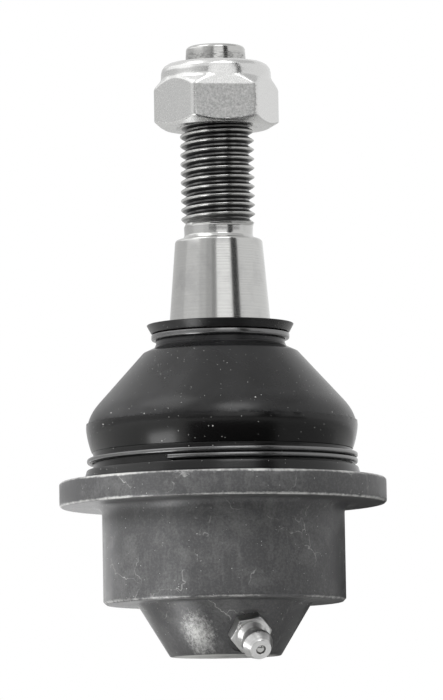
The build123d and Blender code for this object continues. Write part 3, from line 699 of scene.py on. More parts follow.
# Turned and ground bright steel: sharp reflections around the shaft, drawn out along it by the
# fine rings that the tool leaves. The rolled thread's flanks are painted darker with depth under
# their crests, which is painted shade, and a thin painted highlight runs along the roots. The
# rings are really 0.1 mm apart and are drawn at 0.22 mm, so that they show.
def turned_steel(tree, finish, sizes):
    where = add(tree, "TexCoord").outputs["Object"]
    radius, height = round_axis(tree, where)
    rings = tool_lines(tree, height, 0.22, {"Detail": 2.0, "Roughness": 0.6})
    smudge = add(tree, "TexNoise", {
        "Vector": where, "Scale": per_metre(6), "Detail": 5.0, "Roughness": 0.65,
    })
    smudged = add(tree, "MapRange", (smudge, 0.5, 0.8, 0, 0.35))
    shade = add(tree, "MapRange", (rings, 0.3, 0.7, 0, 0.16))

    # Depth under the crests, from 0 to 1 at the root, once the thread has its full height.
    root = sizes.thread_radius - sizes.thread_depth
    depth = add(tree, "MapRange", (radius, sizes.thread_radius, root, 0, 1))
    dark_foot = sizes.thread_foot + 0.4 * sizes.pitch
    dark_top = sizes.thread_foot + sizes.pitch
    above = add(tree, "MapRange", (height, dark_foot, dark_top, 0, 1))
    below = add(tree, "Math", (height, sizes.thread_top), operation="LESS_THAN")
    in_thread = add(tree, "Math", (above, below), operation="MULTIPLY")
    # Painted shade: the flanks darken from the crests down towards the root.
    flank = add(tree, "MapRange", (depth, 0.12, 0.36, 0, 1))
    flank = add(tree, "Math", (flank, in_thread), operation="MULTIPLY")
    # Painted highlight: a thin bright line along the thread's roots, broken up by the smudge
    # noise.
    lines = add(tree, "Math", (depth, 0.98), operation="GREATER_THAN")
    rubbed = add(tree, "MapRange", (smudge, 0.42, 0.6, 0, 0.4))
    line = add(tree, "Math", (lines, rubbed), operation="MULTIPLY")
    line = add(tree, "Math", (line, in_thread), operation="MULTIPLY")

    # The plain point is scuffed round its lower half, where the nut went over it.
    scuff_foot, scuff_top = sizes.thread_top + 3.3 * MM, sizes.thread_top + 4 * MM
    scuffed = add(tree, "MapRange", (height, scuff_foot, scuff_top, 1, 0))
    past_thread = add(tree, "Math", (height, sizes.thread_top), operation="GREATER_THAN")
    scuffed = add(tree, "Math", (scuffed, past_thread), operation="MULTIPLY")
    scuff_noise = add(tree, "TexNoise", {
        "Vector": add(tree, "Mapping", {"Vector": where, "Scale": (1, 1, 3)}),
        "Scale": per_metre(1.2), "Detail": 6.0, "Roughness": 0.75,
    })
    scuff_noise = add(tree, "MapRange", (scuff_noise, 0.47, 0.66, 0.05, 0.85))
    scuffed = add(tree, "Math", (scuffed, scuff_noise), operation="MULTIPLY")
    base = finish.steel
    for share, tint in (
        (smudged, finish.spring), (shade, finish.spring), (flank, finish.dark_steel_and_flank_shade),
        (line, finish.steel), (scuffed, finish.dark_steel_and_flank_shade),
    ):
        base = add(tree, "Mix", (share, base, tint), data_type="RGBA")
    dull = add(tree, "MapRange", (rings, 0.3, 0.7, 0.13, 0.2))
    dull = add(tree, "Math", (flank, 0.14, dull), operation="MULTIPLY_ADD")
    dull = add(tree, "Math", (scuffed, 0.2, dull), operation="MULTIPLY_ADD")
    bump = add(tree, "Bump", {"Strength": 0.16, "Distance": 0.02 * MM, "Height": rings})
    return add(tree, "BsdfPrincipled", {
        "Base Color": base, "Metallic": 1.0, "Roughness": dull, "Normal": bump,
    })


# Bright zinc plate over a cold-forged nut: pale and soft-glossed, with a fine grain, and one
# flat left torn and rough where it was sheared.
def zinc_nut_plate(tree, finish, sizes):
    where = add(tree, "TexCoord").outputs["Object"]
    height = add(tree, "SeparateXYZ", (where,)).outputs["Z"]
    flat = sizes.across_flats / 2
    facing = sizes.corner_turn - pi / 2
    turned_round = {"Vector": where, "Angle": -facing}
    turned_round = add(tree, "VectorRotate", turned_round, rotation_type="Z_AXIS")
    split = add(tree, "SeparateXYZ", (turned_round,))
    ragged = add(tree, "TexNoise", {
        "Vector": where, "Scale": per_metre(0.9), "Detail": 5.0, "Roughness": 0.7,
    })
    shift = add(tree, "MapRange", (ragged, 0.3, 0.7, -0.45 * MM, 0.45 * MM), clamp=False)

    # Height over the curved edge that the lower chamfer leaves on the flat.
    across = add(tree, "Math", (split.outputs["Y"],), operation="ABSOLUTE")
    reach = add(tree, "Math", (across, 2.0), operation="POWER")
    reach = add(tree, "Math", (reach, flat * flat), operation="ADD")
    reach = add(tree, "Math", (reach,), operation="SQRT")
    face = sizes.lower_chamfer_radius
    rise = tan(sizes.chamfer_angle) * MM
    chamfer = (reach, face, face + MM, NUT_LOW.z, NUT_LOW.z + rise)
    chamfer_top = add(tree, "MapRange", chamfer, clamp=False)
    over = add(tree, "Math", (height, chamfer_top), operation="SUBTRACT")
    over = add(tree, "Math", (over, shift), operation="ADD")

    # The patch: on one flat, inside its ragged sides, and under the height where it leans in.
    on_flat = add(tree, "Math", (split.outputs["X"], flat - 0.35 * MM), operation="GREATER_THAN")
    aside = add(tree, "Math", (split.outputs["Y"], sizes.patch_aside), operation="SUBTRACT")
    aside = add(tree, "Math", (aside,), operation="ABSOLUTE")
    aside = add(tree, "Math", (aside, shift), operation="ADD")
    blur = 0.1 * MM
    side = sizes.patch_half
    inside = add(tree, "MapRange", (aside, side - blur, side + blur, 1, 0))
    head = NUT_LOW.z + sizes.sheared_height
    below = add(tree, "MapRange", (height, head - blur / 2, head + blur / 2, 1, 0))
    patch = add(tree, "Math", (on_flat, inside), operation="MULTIPLY")
    patch = add(tree, "Math", (patch, below), operation="MULTIPLY")
    past_edge = add(tree, "Math", (over, 0.25 * MM), operation="GREATER_THAN")
    sheared = add(tree, "Math", (patch, past_edge), operation="MULTIPLY")
    on_edge = add(tree, "Math", (over, 0.3 * MM, 0.08 * MM), operation="COMPARE")
    torn = add(tree, "Math", (patch, on_edge), operation="MULTIPLY")

    pitted = add(tree, "TexNoise", {
        "Vector": where, "Scale": per_metre(0.5), "Detail": 6.0, "Roughness": 0.95,
    })
    grain = add(tree, "TexNoise", {"Vector": where, "Scale": per_metre(0.35), "Detail": 3.0})
    worn_grey = add(tree, "MapRange", (pitted, 0.43, 0.57, 0.62, 0))
    dark_share = add(tree, "Math", (sheared, worn_grey), operation="MULTIPLY")
    base = add(tree, "Mix", (dark_share, finish.zinc, finish.zinc_rough), data_type="RGBA")
    torn_dark = add(tree, "MapRange", (pitted, 0.46, 0.56, 0, 0.9))
    torn_share = add(tree, "Math", (torn, torn_dark), operation="MULTIPLY")
    dull = add(tree, "MapRange", (grain, 0.3, 0.7, 0.2, 0.3))
    relief = add(tree, "Math", (pitted, 0.5), operation="SUBTRACT")
    relief = add(tree, "Math", (relief, sheared), operation="MULTIPLY")
    relief = add(tree, "Math", (grain, 0.006, relief), operation="MULTIPLY_ADD")
    return add(tree, "BsdfPrincipled", {
        "Base Color": add(tree, "Mix", (torn_share, base, finish.dark_steel_and_flank_shade), data_type="RGBA"),
        "Metallic": 1.0,
        "Roughness": add(tree, "Math", (sheared, 0.3, dull), operation="MULTIPLY_ADD"),
        "Normal": add(tree, "Bump", {
            "Strength": 0.5, "Distance": 0.06 * MM, "Height": relief,
        }),
    })


# Zinc plate over a screw-machined fitting: pale and soft-glossed, with turning rings on its
# faces. The rings are really finer and are drawn 0.35 mm apart, so that they show.
def zinc_fitting_plate(tree, finish, seat):
    where = add(tree, "TexCoord").outputs["Object"]
    home = seat.inverted()
    upright = add(tree, "Mapping", {
        "Vector": where, "Location": home.to_translation(), "Rotation": home.to_euler(),
    })
    out, along = round_axis(tree, upright)
    out = add(tree, "Math", (out, along), operation="ADD")
    rings = tool_lines(tree, out, 0.35, {"Detail": 2.0, "Roughness": 0.6})
    cloud = add(tree, "TexNoise", {"Vector": where, "Scale": per_metre(1.8), "Detail": 4.0})
    soiled = add(tree, "MapRange", (cloud, 0.45, 0.75, 0, 0.25))
    base = add(tree, "Mix", (soiled, finish.zinc, finish.zinc_rough), data_type="RGBA")
    lined = add(tree, "MapRange", (rings, 0.35, 0.65, 0, 0.18))
    base = add(tree, "Mix", (lined, base, finish.zinc_rough), data_type="RGBA")
    dull = add(tree, "MapRange", (cloud, 0.3, 0.7, 0.26, 0.4))
    bump = add(tree, "Bump", {"Strength": 0.3, "Distance": 0.05 * MM, "Height": rings})
    return add(tree, "BsdfPrincipled", {
        "Base Color": base, "Metallic": 1.0, "Roughness": dull, "Normal": bump,
    })


# Moulded chloroprene rubber: black with a soft sheen, a dull bloom over its cone and pale dust.
# The band below the mould's parting line stays blacker and glossier.
def moulded_rubber(tree, finish, sizes):
    where = add(tree, "TexCoord").outputs["Object"]
    height = add(tree, "SeparateXYZ", (where,)).outputs["Z"]
    bloom = add(tree, "TexNoise", {
        "Vector": where, "Scale": per_metre(13), "Detail": 6.0, "Roughness": 0.62,
        "Distortion": 0.4,
    })
    skin = add(tree, "TexNoise", {"Vector": where, "Scale": per_metre(0.4), "Detail": 4.0})
    ragged = add(tree, "TexNoise", {"Vector": where, "Scale": per_metre(0.6), "Detail": 3.0})
    parting = add(tree, "MapRange", (ragged, 0.3, 0.7, -0.22 * MM, 0.22 * MM), clamp=False)
    parting = add(tree, "Math", (height, parting), operation="ADD")
    line = sizes.parting_height
    above = add(tree, "MapRange", (parting, line, line + 0.1 * MM, 0, 1))
    flash = add(tree, "Math", (parting, line, 0.3 * MM), operation="COMPARE")
    soft = add(tree, "MapRange", (bloom, 0.36, 0.68, 0.2, 1))
    dullness = add(tree, "Math", (above, soft), operation="MULTIPLY")
    large_dust = specks(tree, where, 1.8, 0.3, 0.17)
    fine_dust = specks(tree, where, 0.7, 0.5, 0.085)
    dust = add(tree, "Math", (large_dust, fine_dust), operation="MAXIMUM")
    base = finish.rubber
    for share, tint in (
        (dullness, finish.rubber_bloom), (flash, finish.wire), (dust, finish.dust),
    ):
        base = add(tree, "Mix", (share, base, tint), data_type="RGBA")
    sheen = add(tree, "MapRange", (dullness, 0, 1, 0.21, 0.33))
    relief = add(tree, "Math", (flash, -2.0, skin), operation="MULTIPLY_ADD")
    bump = add(tree, "Bump", {"Strength": 0.3, "Distance": 0.02 * MM, "Height": relief})
    return add(tree, "BsdfPrincipled", {
        "Base Color": base, "Roughness": sheen, "Normal": bump,
        "IOR": 1.5, "Specular IOR Level": 0.34,
    })


# Blackened and oiled spring wire: glossy black with long highlights.
def blackened_wire(tree, finish):
    where = add(tree, "TexCoord").outputs["Object"]
    drawn = add(tree, "TexNoise", {"Vector": where, "Scale": per_metre(0.8), "Detail": 4.0})
    rubbed = add(tree, "MapRange", (drawn, 0.4, 0.7, 0, 0.5))
    base = add(tree, "Mix", (rubbed, finish.wire, finish.rubber_bloom), data_type="RGBA")
    dull = add(tree, "MapRange", (drawn, 0.3, 0.7, 0.16, 0.26))
    bump = add(tree, "Bump", {"Strength": 0.2, "Distance": 0.01 * MM, "Height": drawn})
    return add(tree, "BsdfPrincipled", {
        "Base Color": base, "Roughness": dull, "Normal": bump,
        "IOR": 1.9, "Specular IOR Level": 0.8,
    })


# Sintered and oil-soaked iron: dull, dark and finely pitted.
def sintered_iron(tree, finish):
    where = add(tree, "TexCoord").outputs["Object"]
    pores = add(tree, "TexVoronoi", {"Vector": where, "Scale": per_metre(0.35)})
    pit = add(tree, "MapRange", (pores, 0.1, 0.5, 0.55, 1))
    base = add(tree, "Mix", (pit, finish.wire, finish.sinter), data_type="RGBA")
    bump = add(tree, "Bump", {"Strength": 0.4, "Distance": 0.03 * MM, "Height": pit})
    return add(tree, "BsdfPrincipled", {
        "Base Color": base, "Metallic": 1.0, "Roughness": 0.55, "Normal": bump,
    })


# Hardened and tempered strip steel: smooth grey with faint rolling lines, drawn 0.3 mm apart.
def hardened_strip(tree, finish):
    where = add(tree, "TexCoord").outputs["Object"]
    lines = tool_lines(tree, round_axis(tree, where)[0], 0.3, {"Detail": 3.0})
    lined = add(tree, "MapRange", (lines, 0.3, 0.7, 0, 0.4))
    base = add(tree, "Mix", (lined, finish.spring, finish.forging), data_type="RGBA")
    dull = add(tree, "MapRange", (lines, 0.3, 0.7, 0.25, 0.4))
    return add(tree, "BsdfPrincipled", {"Base Color": base, "Metallic": 1.0, "Roughness": dull})


# Natural nylon: milky, half see-through and waxy.
def natural_nylon(tree, finish):
    where = add(tree, "TexCoord").outputs["Object"]
    milk = add(tree, "TexNoise", {"Vector": where, "Scale": per_metre(3), "Detail": 2.0})
    milky = add(tree, "MapRange", (milk, 0.3, 0.7, 0, 0.4))
    base = add(tree, "Mix", (milky, finish.nylon, finish.floor), data_type="RGBA")
    return add(tree, "BsdfPrincipled", {
        "Base Color": base, "Roughness": 0.4, "IOR": 1.53,
        "Subsurface Weight": 0.2, "Subsurface Scale": 1 * MM,
    })


# Painted board: a plain matt pale floor, which is clear from below.
def pale_floor(tree, finish):
    board = add(tree, "BsdfDiffuse", (finish.floor,))
    back = add(tree, "NewGeometry").outputs["Backfacing"]
    return add(tree, "MixShader", (back, board, add(tree, "BsdfTransparent")))


# A lit studio card, which the camera sees through.
def lit_card(tree, brightness):
    glow = add(tree, "Emission", ((1, 1, 1, 1), brightness))
    seen = add(tree, "LightPath").outputs["Is Camera Ray"]
    return add(tree, "MixShader", (seen, glow, add(tree, "BsdfTransparent")))


# A white room behind the part and in its gloss, with softer light of its own.
def white_room(tree, room_light):
    rays = add(tree, "LightPath").outputs
    seen = (rays["Is Camera Ray"], rays["Is Glossy Ray"])
    seen = add(tree, "Math", seen, operation="MAXIMUM")
    seen = add(tree, "Math", (seen, rays["Is Transmission Ray"]), operation="MAXIMUM")
    soft = add(tree, "Background", ((1, 1, 1, 1), room_light))
    white = add(tree, "Background", ((1, 1, 1, 1), 1.0))
    return add(tree, "MixShader", (seen, soft, white))


def dress(node, material):
    """Give a CAD node that stays in view its finished material."""
    for slot in frame["nodes"][node].material_slots:
        slot.material = material


# ---- Pieces ----
def thread_ridge(name, foot, top, crest, root, pitch, steps):
    """A right-hand thread as an open tube, wound from one pitch and cut level at both ends."""
    root_half = pitch / 12
    crest_half = pitch / 16
    start = foot - pitch
    middle = start + pitch / 2
    edge_drop, edge_down, edge_in = 0.06 * MM, 0.035 * MM, 0.045 * MM
    piece = outline(name, [
        (root, start),
        (root, start + root_half),
        (crest - edge_drop, middle - crest_half - edge_down),
        (crest, middle - crest_half + edge_in),
        (crest, middle + crest_half - edge_in),
        (crest - edge_drop, middle + crest_half + edge_down),
        (root, start + pitch - root_half),
        (root, start + pitch),
    ])
    wind(piece, 2 * pi, pitch, steps, ceil((top - foot) / pitch) + 2)
    bpy.ops.object.mode_set(mode="EDIT")
    bpy.ops.mesh.select_all(action="SELECT")
    bpy.ops.mesh.remove_doubles(threshold=WELD)
    for level, inner in ((foot, True), (top, False)):
        bpy.ops.mesh.select_all(action="SELECT")
        bpy.ops.mesh.bisect(
            plane_co=(0, 0, level), plane_no=(0, 0, 1), threshold=WELD,
            clear_inner=inner, clear_outer=not inner,
        )
    bpy.ops.object.mode_set(mode="OBJECT")
    return piece


def make_stud(sizes):
    """The ball stud: turned ball, neck, taper and point, with its thread wound and bridged in."""
    ball_bottom = -sqrt(sizes.ball_radius ** 2 - sizes.ball_flat_radius ** 2)
    flat_turn = atan2(ball_bottom, sizes.ball_flat_radius)
    ball_top = sqrt(sizes.ball_radius ** 2 - sizes.neck_radius ** 2)
    top_turn = atan2(ball_top, sizes.neck_radius)
    relief_foot = (sizes.relief_radius + sizes.relief_flare, sizes.taper_top)
    relief_top = (sizes.relief_radius, sizes.thread_foot - SEAM)
    hollow = sizes.relief_radius - sizes.relief_hollow
    shank = turned("ball_stud_turned", [
        (0, ball_bottom),
        *arc(sizes.ball_radius, flat_turn, top_turn, 48)[:-1],
        (sizes.neck_radius, ball_top, sizes.neck_fillet),
        (sizes.neck_radius, sizes.shoulder_foot, sizes.neck_radius),
        (sizes.taper_large_radius, sizes.taper_foot),
        (sizes.taper_small_radius, sizes.taper_top, sizes.taper_round),
        (*relief_foot, sizes.relief_edge),
        *curve(relief_foot, (hollow, relief_foot[1] + sizes.relief_fillet / 2),
               (hollow, relief_top[1] - sizes.relief_fillet), relief_top, 9),
        relief_top,
    ], sizes.steps, spacing=sizes.row_spacing, round_steps=6)
    point = turned("stud_point", [
        (sizes.point_radius, sizes.thread_top + SEAM),
        (sizes.point_radius - sizes.point_taper, STUD_HIGH.z, sizes.point_round),
        (0, STUD_HIGH.z),
    ], sizes.steps, spacing=sizes.row_spacing * 0.6, round_steps=6)
    ridge = thread_ridge(
        "stud_thread", sizes.thread_foot, sizes.thread_top, sizes.thread_radius,
        sizes.thread_radius - sizes.thread_depth, sizes.pitch, sizes.steps,
    )

    def run_out(radius, turn, height):
        """Fade the rolled thread into the shank, and chamfer its other end down to the point."""
        share = smooth_step((height - sizes.thread_foot) / sizes.pitch)
        radius = sizes.relief_radius + (radius - sizes.relief_radius) * share
        left = max(sizes.thread_top - height, 0) / sizes.thread_chamfer
        return min(radius, sizes.point_radius + (sizes.thread_radius - sizes.point_radius) * left)

    reshape(ridge, run_out)
    return join_at((
        (sizes.thread_foot - 2 * SEAM, sizes.thread_foot + SEAM / 2),
        (sizes.thread_top - SEAM / 2, sizes.thread_top + 2 * SEAM),
    ), shank, ridge, point)


def make_housing(sizes, fitting, seat):
    """The forged housing: turned cup with dented rims and a pocket for the grease fitting."""
    flange_radius = HOUSING_HIGH.x
    flange_top = BOOT_LOW.z
    lip_top = HOUSING_HIGH.z
    nose = HOUSING_LOW.z
    housing = turned("forged_housing", [
        (0, nose),
        (sizes.nose_face_radius, nose, sizes.nose_edge),
        (sizes.nose_top_radius, sizes.barrel_foot, sizes.step_fillet),
        (sizes.barrel_radius - sizes.barrel_chamfer, sizes.barrel_foot, sizes.barrel_edge),
        (sizes.barrel_radius, sizes.barrel_foot + sizes.barrel_chamfer, sizes.barrel_edge),
        (sizes.barrel_radius, sizes.flange_foot, sizes.flange_fillet),
        (flange_radius, sizes.flange_foot, sizes.flange_edge),
        (flange_radius, flange_top, sizes.flange_edge),
        (sizes.collar_radius, flange_top),
        (sizes.collar_radius, lip_top, sizes.collar_round),
        (sizes.mouth_radius, lip_top, sizes.mouth_edge),
        (sizes.mouth_radius, sizes.cover_top),
        (sizes.bore_radius - sizes.cover_chamfer, sizes.cover_top),
        (sizes.bore_radius, sizes.cover_top - sizes.cover_chamfer),
        (sizes.bore_radius, 0),
        *arc(sizes.cavity_radius, 0, -pi / 2, 24),
    ], sizes.steps, spacing=sizes.row_spacing)

    def dent(radius, turn, height):
        """Dent both rims of the flange unevenly, the lower one less."""
        for rim, depth in ((flange_top, 1), (sizes.flange_foot, 0.8)):
            apart = sqrt((radius - flange_radius) ** 2 + (height - rim) ** 2)
            if apart < sizes.nick_reach:
                spot = Vector((cos(turn), sin(turn), height / flange_radius)) * DENTS_ROUND
                deep = max(noise.noise(spot) * 1.7 - 0.25, 0)
                knock = deep + 0.2 * abs(noise.noise(spot * 4))
                share = smooth_step(1 - apart / sizes.nick_reach)
                return radius - min(knock, 1) * share * depth * sizes.nick_depth
        return radius

    reshape(housing, dent)
    pocket_radius = fitting.across_flats / sqrt(3) + fitting.pocket_gap
    drill(housing, seat, pocket_radius, 0, sizes.pocket_depth, 96)
    shank = fitting.shank_length
    drill(housing, seat, fitting.shank_radius, -shank, shank, 64)
    return housing


def make_nut(sizes, stud):
    """The lock nut: turned blank pressed to a hexagon, with a rolled collar and a cut thread."""
    bore = stud.thread_radius + sizes.bore_gap
    foot, top = NUT_LOW.z, NUT_HIGH.z
    flat = sizes.across_flats / 2
    blank_radius = sizes.across_flats / sqrt(3) + sizes.corner_softness / 4
    slope = tan(sizes.chamfer_angle)
    thread_foot = foot + sizes.bore_chamfer
    thread_top = INSERT_LOW.z - SEAM
    insert_radius = INSERT_HIGH.x + sizes.insert_gap
    lower_rise = (blank_radius - sizes.lower_chamfer_radius) * slope
    upper_drop = (blank_radius - sizes.upper_chamfer_radius) * slope * 2
    blank = turned("lock_nut_turned", [
        (bore, thread_foot - SEAM),
        (bore + sizes.bore_chamfer - SEAM, foot),
        (sizes.lower_chamfer_radius, foot, sizes.face_edge),
        (blank_radius, foot + lower_rise),
        (blank_radius, sizes.hexagon_top - upper_drop),
        (sizes.upper_chamfer_radius, sizes.hexagon_top, sizes.collar_blend),
        (sizes.collar_radius, top, sizes.collar_round),
        (sizes.mouth_radius, top, sizes.mouth_edge),
        (sizes.mouth_radius, top - sizes.mouth_wall),
        (insert_radius, top - sizes.mouth_wall),
        (insert_radius, INSERT_LOW.z),
        (bore, INSERT_LOW.z),
    ], sizes.steps, spacing=sizes.row_spacing)

    def press(radius, turn, height):
        """Press the blank's flats in, the sheared one leaning in towards its top."""
        if radius < sizes.lower_chamfer_radius - MM:
            return radius
        upright_top = foot + sizes.sheared_height
        lean = max(height - upright_top, 0) / (sizes.hexagon_top - upright_top)
        aside = abs((turn - sizes.corner_turn + pi / 2 + pi) % (2 * pi) - pi)
        lean = min(lean, 1) * smooth_step((pi / 6 - aside) / radians(3))
        leaning = flat - sizes.flat_lean * lean
        hexagon = hexagon_radius(turn, leaning, sizes.corner_turn, sizes.corner_softness)
        return soft_min(radius, hexagon, sizes.chamfer_softness)

    reshape(blank, press)
    ridge = thread_ridge(
        "nut_thread", thread_foot, thread_top, bore,
        bore - stud.thread_depth + sizes.crest_cut, stud.pitch, 96,
    )
    fade = 0.8 * stud.pitch

    def countersink(radius, turn, height):
        """Open the thread towards both of its ends."""
        left = min(height - thread_foot, thread_top - height)
        return bore + (radius - bore) * smooth_step(left / fade)

    reshape(ridge, countersink)
    return join_at((
        (thread_foot - 1.5 * SEAM, thread_foot + SEAM / 2),
        (thread_top - SEAM / 2, INSERT_LOW.z + SEAM / 2),
    ), blank, ridge)


def cone_at(foot, top, height):
    """Radius of a cone through two (radius, height) points, at a height."""
    return foot[0] + (top[0] - foot[0]) * (height - foot[1]) / (top[1] - foot[1])


def make_boots(sizes, stud):
    """The rubber boot in two rings that meet on its cone."""
    foot, top = BOOT_LOW.z, BOOT_HIGH.z
    cone_foot = (sizes.cone_foot_radius, sizes.cone_foot)
    cone_top = (sizes.cone_top_radius, sizes.cone_top)
    cut_height = sizes.joint_height
    cone_slope = Vector(cone_top) - Vector(cone_foot)
    inward = Vector((-cone_slope.y, cone_slope.x)).normalized() * sizes.cone_wall
    inner_foot = tuple(Vector(cone_foot) + inward)
    inner_top = tuple(Vector(cone_top) + inward)
    hair = 0.05 * MM  # Keeps two corners apart
    parting = (sizes.bulge_radius - sizes.parting_drop, sizes.parting_height)
    stepped = (parting[0] - sizes.parting_step, sizes.parting_height + hair)
    bulge = (sizes.bulge_radius, sizes.bulge_height)
    lift, waist_pull, cone_pull = 1.4 * MM, 0.55 * MM, 0.35 * MM  # Reach of the curves' handles
    lower = turned("boot_bellows", [
        (sizes.collar_radius, foot),
        (sizes.base_radius, foot, sizes.base_edge),
        (sizes.base_top_radius, sizes.base_top, sizes.base_round),
        (sizes.groove_radius, sizes.base_top, sizes.groove_edge),
        (sizes.groove_radius, sizes.groove_top, sizes.groove_edge / 1.5),
        (sizes.waist_radius, sizes.groove_top + hair),
        *curve((sizes.waist_radius, sizes.groove_top),
               (sizes.waist_radius + waist_pull, sizes.groove_top + lift),
               (sizes.bulge_radius, sizes.bulge_height - lift), bulge, 9),
        bulge,
        parting,
        stepped,
        *curve(stepped, (stepped[0] - cone_pull, stepped[1] + lift),
               tuple(Vector(cone_foot) - cone_slope * 0.17), cone_foot, 12),
        cone_foot,
        (cone_at(cone_foot, cone_top, cut_height), cut_height),
        (cone_at(inner_foot, inner_top, cut_height), cut_height),
        inner_foot,
        *curve(inner_foot, tuple(Vector(inner_foot) - cone_slope * 0.2),
               (sizes.bulge_radius - sizes.wall, sizes.bulge_height - lift),
               (sizes.collar_radius, HOUSING_HIGH.z), 14),
        (sizes.collar_radius, HOUSING_HIGH.z),
    ], sizes.steps, closed=True, spacing=sizes.row_spacing)
    bead = sizes.neck_bead
    neck, neck_foot = sizes.neck_radius, sizes.neck_foot
    taper_foot = (stud.taper_large_radius, stud.taper_foot)
    taper_top = (stud.taper_small_radius, stud.taper_top)
    lip_mouth = cone_at(taper_foot, taper_top, sizes.lip_foot) + sizes.grip_gap
    groove = neck - sizes.clip_groove_depth
    edge, soft_edge, mouth_edge = sizes.lip_edge, 0.2 * MM, 0.4 * MM
    shoulder = (cone_top[0] - 0.2 * MM, cone_top[1] + 0.221 * MM)
    upper = turned("boot_neck_ring", [
        (cone_at(inner_foot, inner_top, cut_height), cut_height),
        (cone_at(cone_foot, cone_top, cut_height), cut_height),
        (*shoulder, sizes.shoulder_round),
        (neck + sizes.neck_flare, neck_foot - 0.9 * sizes.neck_flare, sizes.neck_flare),
        (neck + bead, neck_foot, bead / 3),
        (neck + bead, neck_foot + bead, bead / 3),
        (neck, neck_foot + bead * 1.6),
        (neck, UPPER_CLIP_LOW.z, edge),
        (groove, UPPER_CLIP_LOW.z + hair, edge),
        (groove, sizes.lip_foot, soft_edge),
        (sizes.lip_radius - sizes.lip_wall, sizes.lip_foot + hair, soft_edge),
        (sizes.lip_radius, top, edge),
        (sizes.lip_radius - sizes.lip_wall, top, edge),
        (lip_mouth, sizes.lip_foot, mouth_edge),
        (stud.taper_large_radius + sizes.grip_gap, stud.taper_foot, mouth_edge),
        inner_top,
    ], sizes.steps, closed=True, spacing=sizes.row_spacing)

    def tear(radius, turn, height):
        """Tear the flash along the parting line."""
        inside, apart = parting[0] - radius, abs(height - sizes.parting_height)
        if inside < FLASH_DEPTH and apart < FLASH_REACH:
            spot = Vector((cos(turn), sin(turn), 0)) * TEARS_ROUND
            uneven = noise.noise(spot) + 0.6 * noise.noise(spot * 2.7)
            return radius + sizes.parting_tear * uneven
        return radius

    reshape(lower, tear)
    return lower, upper


def flat_wire(name, radius, middle, width, height, edge):
    """The outline of a flat wire with rounded edges, about the middle of its section."""
    return outline(name, [
        (radius + right * width / 2, middle + up * height / 2, edge)
        for right, up in ((-1, -1), (1, -1), (1, 1), (-1, 1))
    ], closed=True)


def close_ends(piece, end_bevel):
    """Close both open ends of a wire with bevelled faces, in edit mode, and leave edit mode."""
    bpy.ops.mesh.select_all(action="SELECT")
    bpy.ops.mesh.remove_doubles(threshold=WELD)
    pick(piece, "edges", lambda edge: edge.is_boundary)
    bpy.ops.mesh.edge_face_add()
    pick(piece, "faces", lambda face: len(face.verts) > 4)
    bpy.ops.mesh.inset(thickness=end_bevel)
    tidy_faces()
    bpy.ops.object.mode_set(mode="OBJECT")


def wind_wire(piece, sweep, pitch, steps, matrix, end_bevel):
    """Wind the outline of a wire about the Z axis, move it by a matrix and close its ends."""
    rounds = sweep / (2 * pi)
    wind(piece, sweep, pitch * rounds, round(steps * rounds))
    place(piece, matrix)
    bpy.ops.object.mode_set(mode="EDIT")
    close_ends(piece, end_bevel)
    return piece


def make_lower_clip(sizes):
    """The lower clip: flat wire wound round the boot's foot."""
    clip = flat_wire("lower_clip_wire", LOWER_CLIP_HIGH.x - sizes.lower_width / 2,
                     LOWER_CLIP_LOW.z + sizes.lower_height / 2,
                     sizes.lower_width, sizes.lower_height, sizes.wire_round)
    return wind_wire(clip, sizes.lower_sweep, sizes.lower_pitch, sizes.steps,
                     Matrix.Rotation(sizes.lower_start, 4, "Z"), sizes.end_bevel)


def make_upper_clip(sizes):
    """The upper clip: a split ring round the boot's neck, open at the back."""
    clip = flat_wire("upper_clip_wire", UPPER_CLIP_HIGH.x - sizes.upper_width / 2,
                     (UPPER_CLIP_HIGH.z + UPPER_CLIP_LOW.z) / 2,
                     sizes.upper_width, UPPER_CLIP_HIGH.z - UPPER_CLIP_LOW.z, sizes.wire_round)
    spin(clip, sizes.steps, 2 * pi - sizes.upper_mouth)
    place(clip, Matrix.Rotation(pi / 2 + sizes.upper_mouth / 2, 4, "Z"))
    bpy.ops.object.mode_set(mode="EDIT")
    close_ends(clip, sizes.end_bevel)
    return clip


def fitting_seat(sizes):
    """The matrix that puts the fitting, modelled upright, on its seat in the housing's nose."""
    press = next(joint for joint in frame["joints"] if joint["name"] == "check_ball_press")
    axis = -Vector(press["axis"]).normalized()
    side = UP.cross(axis).normalized()
    origin = (CHECK_BALL_LOW + CHECK_BALL_HIGH) / 2 - axis * sizes.ball_height
    turn = Matrix((side, axis.cross(side), axis)).transposed().to_4x4()
    return Matrix.Translation(origin) @ turn


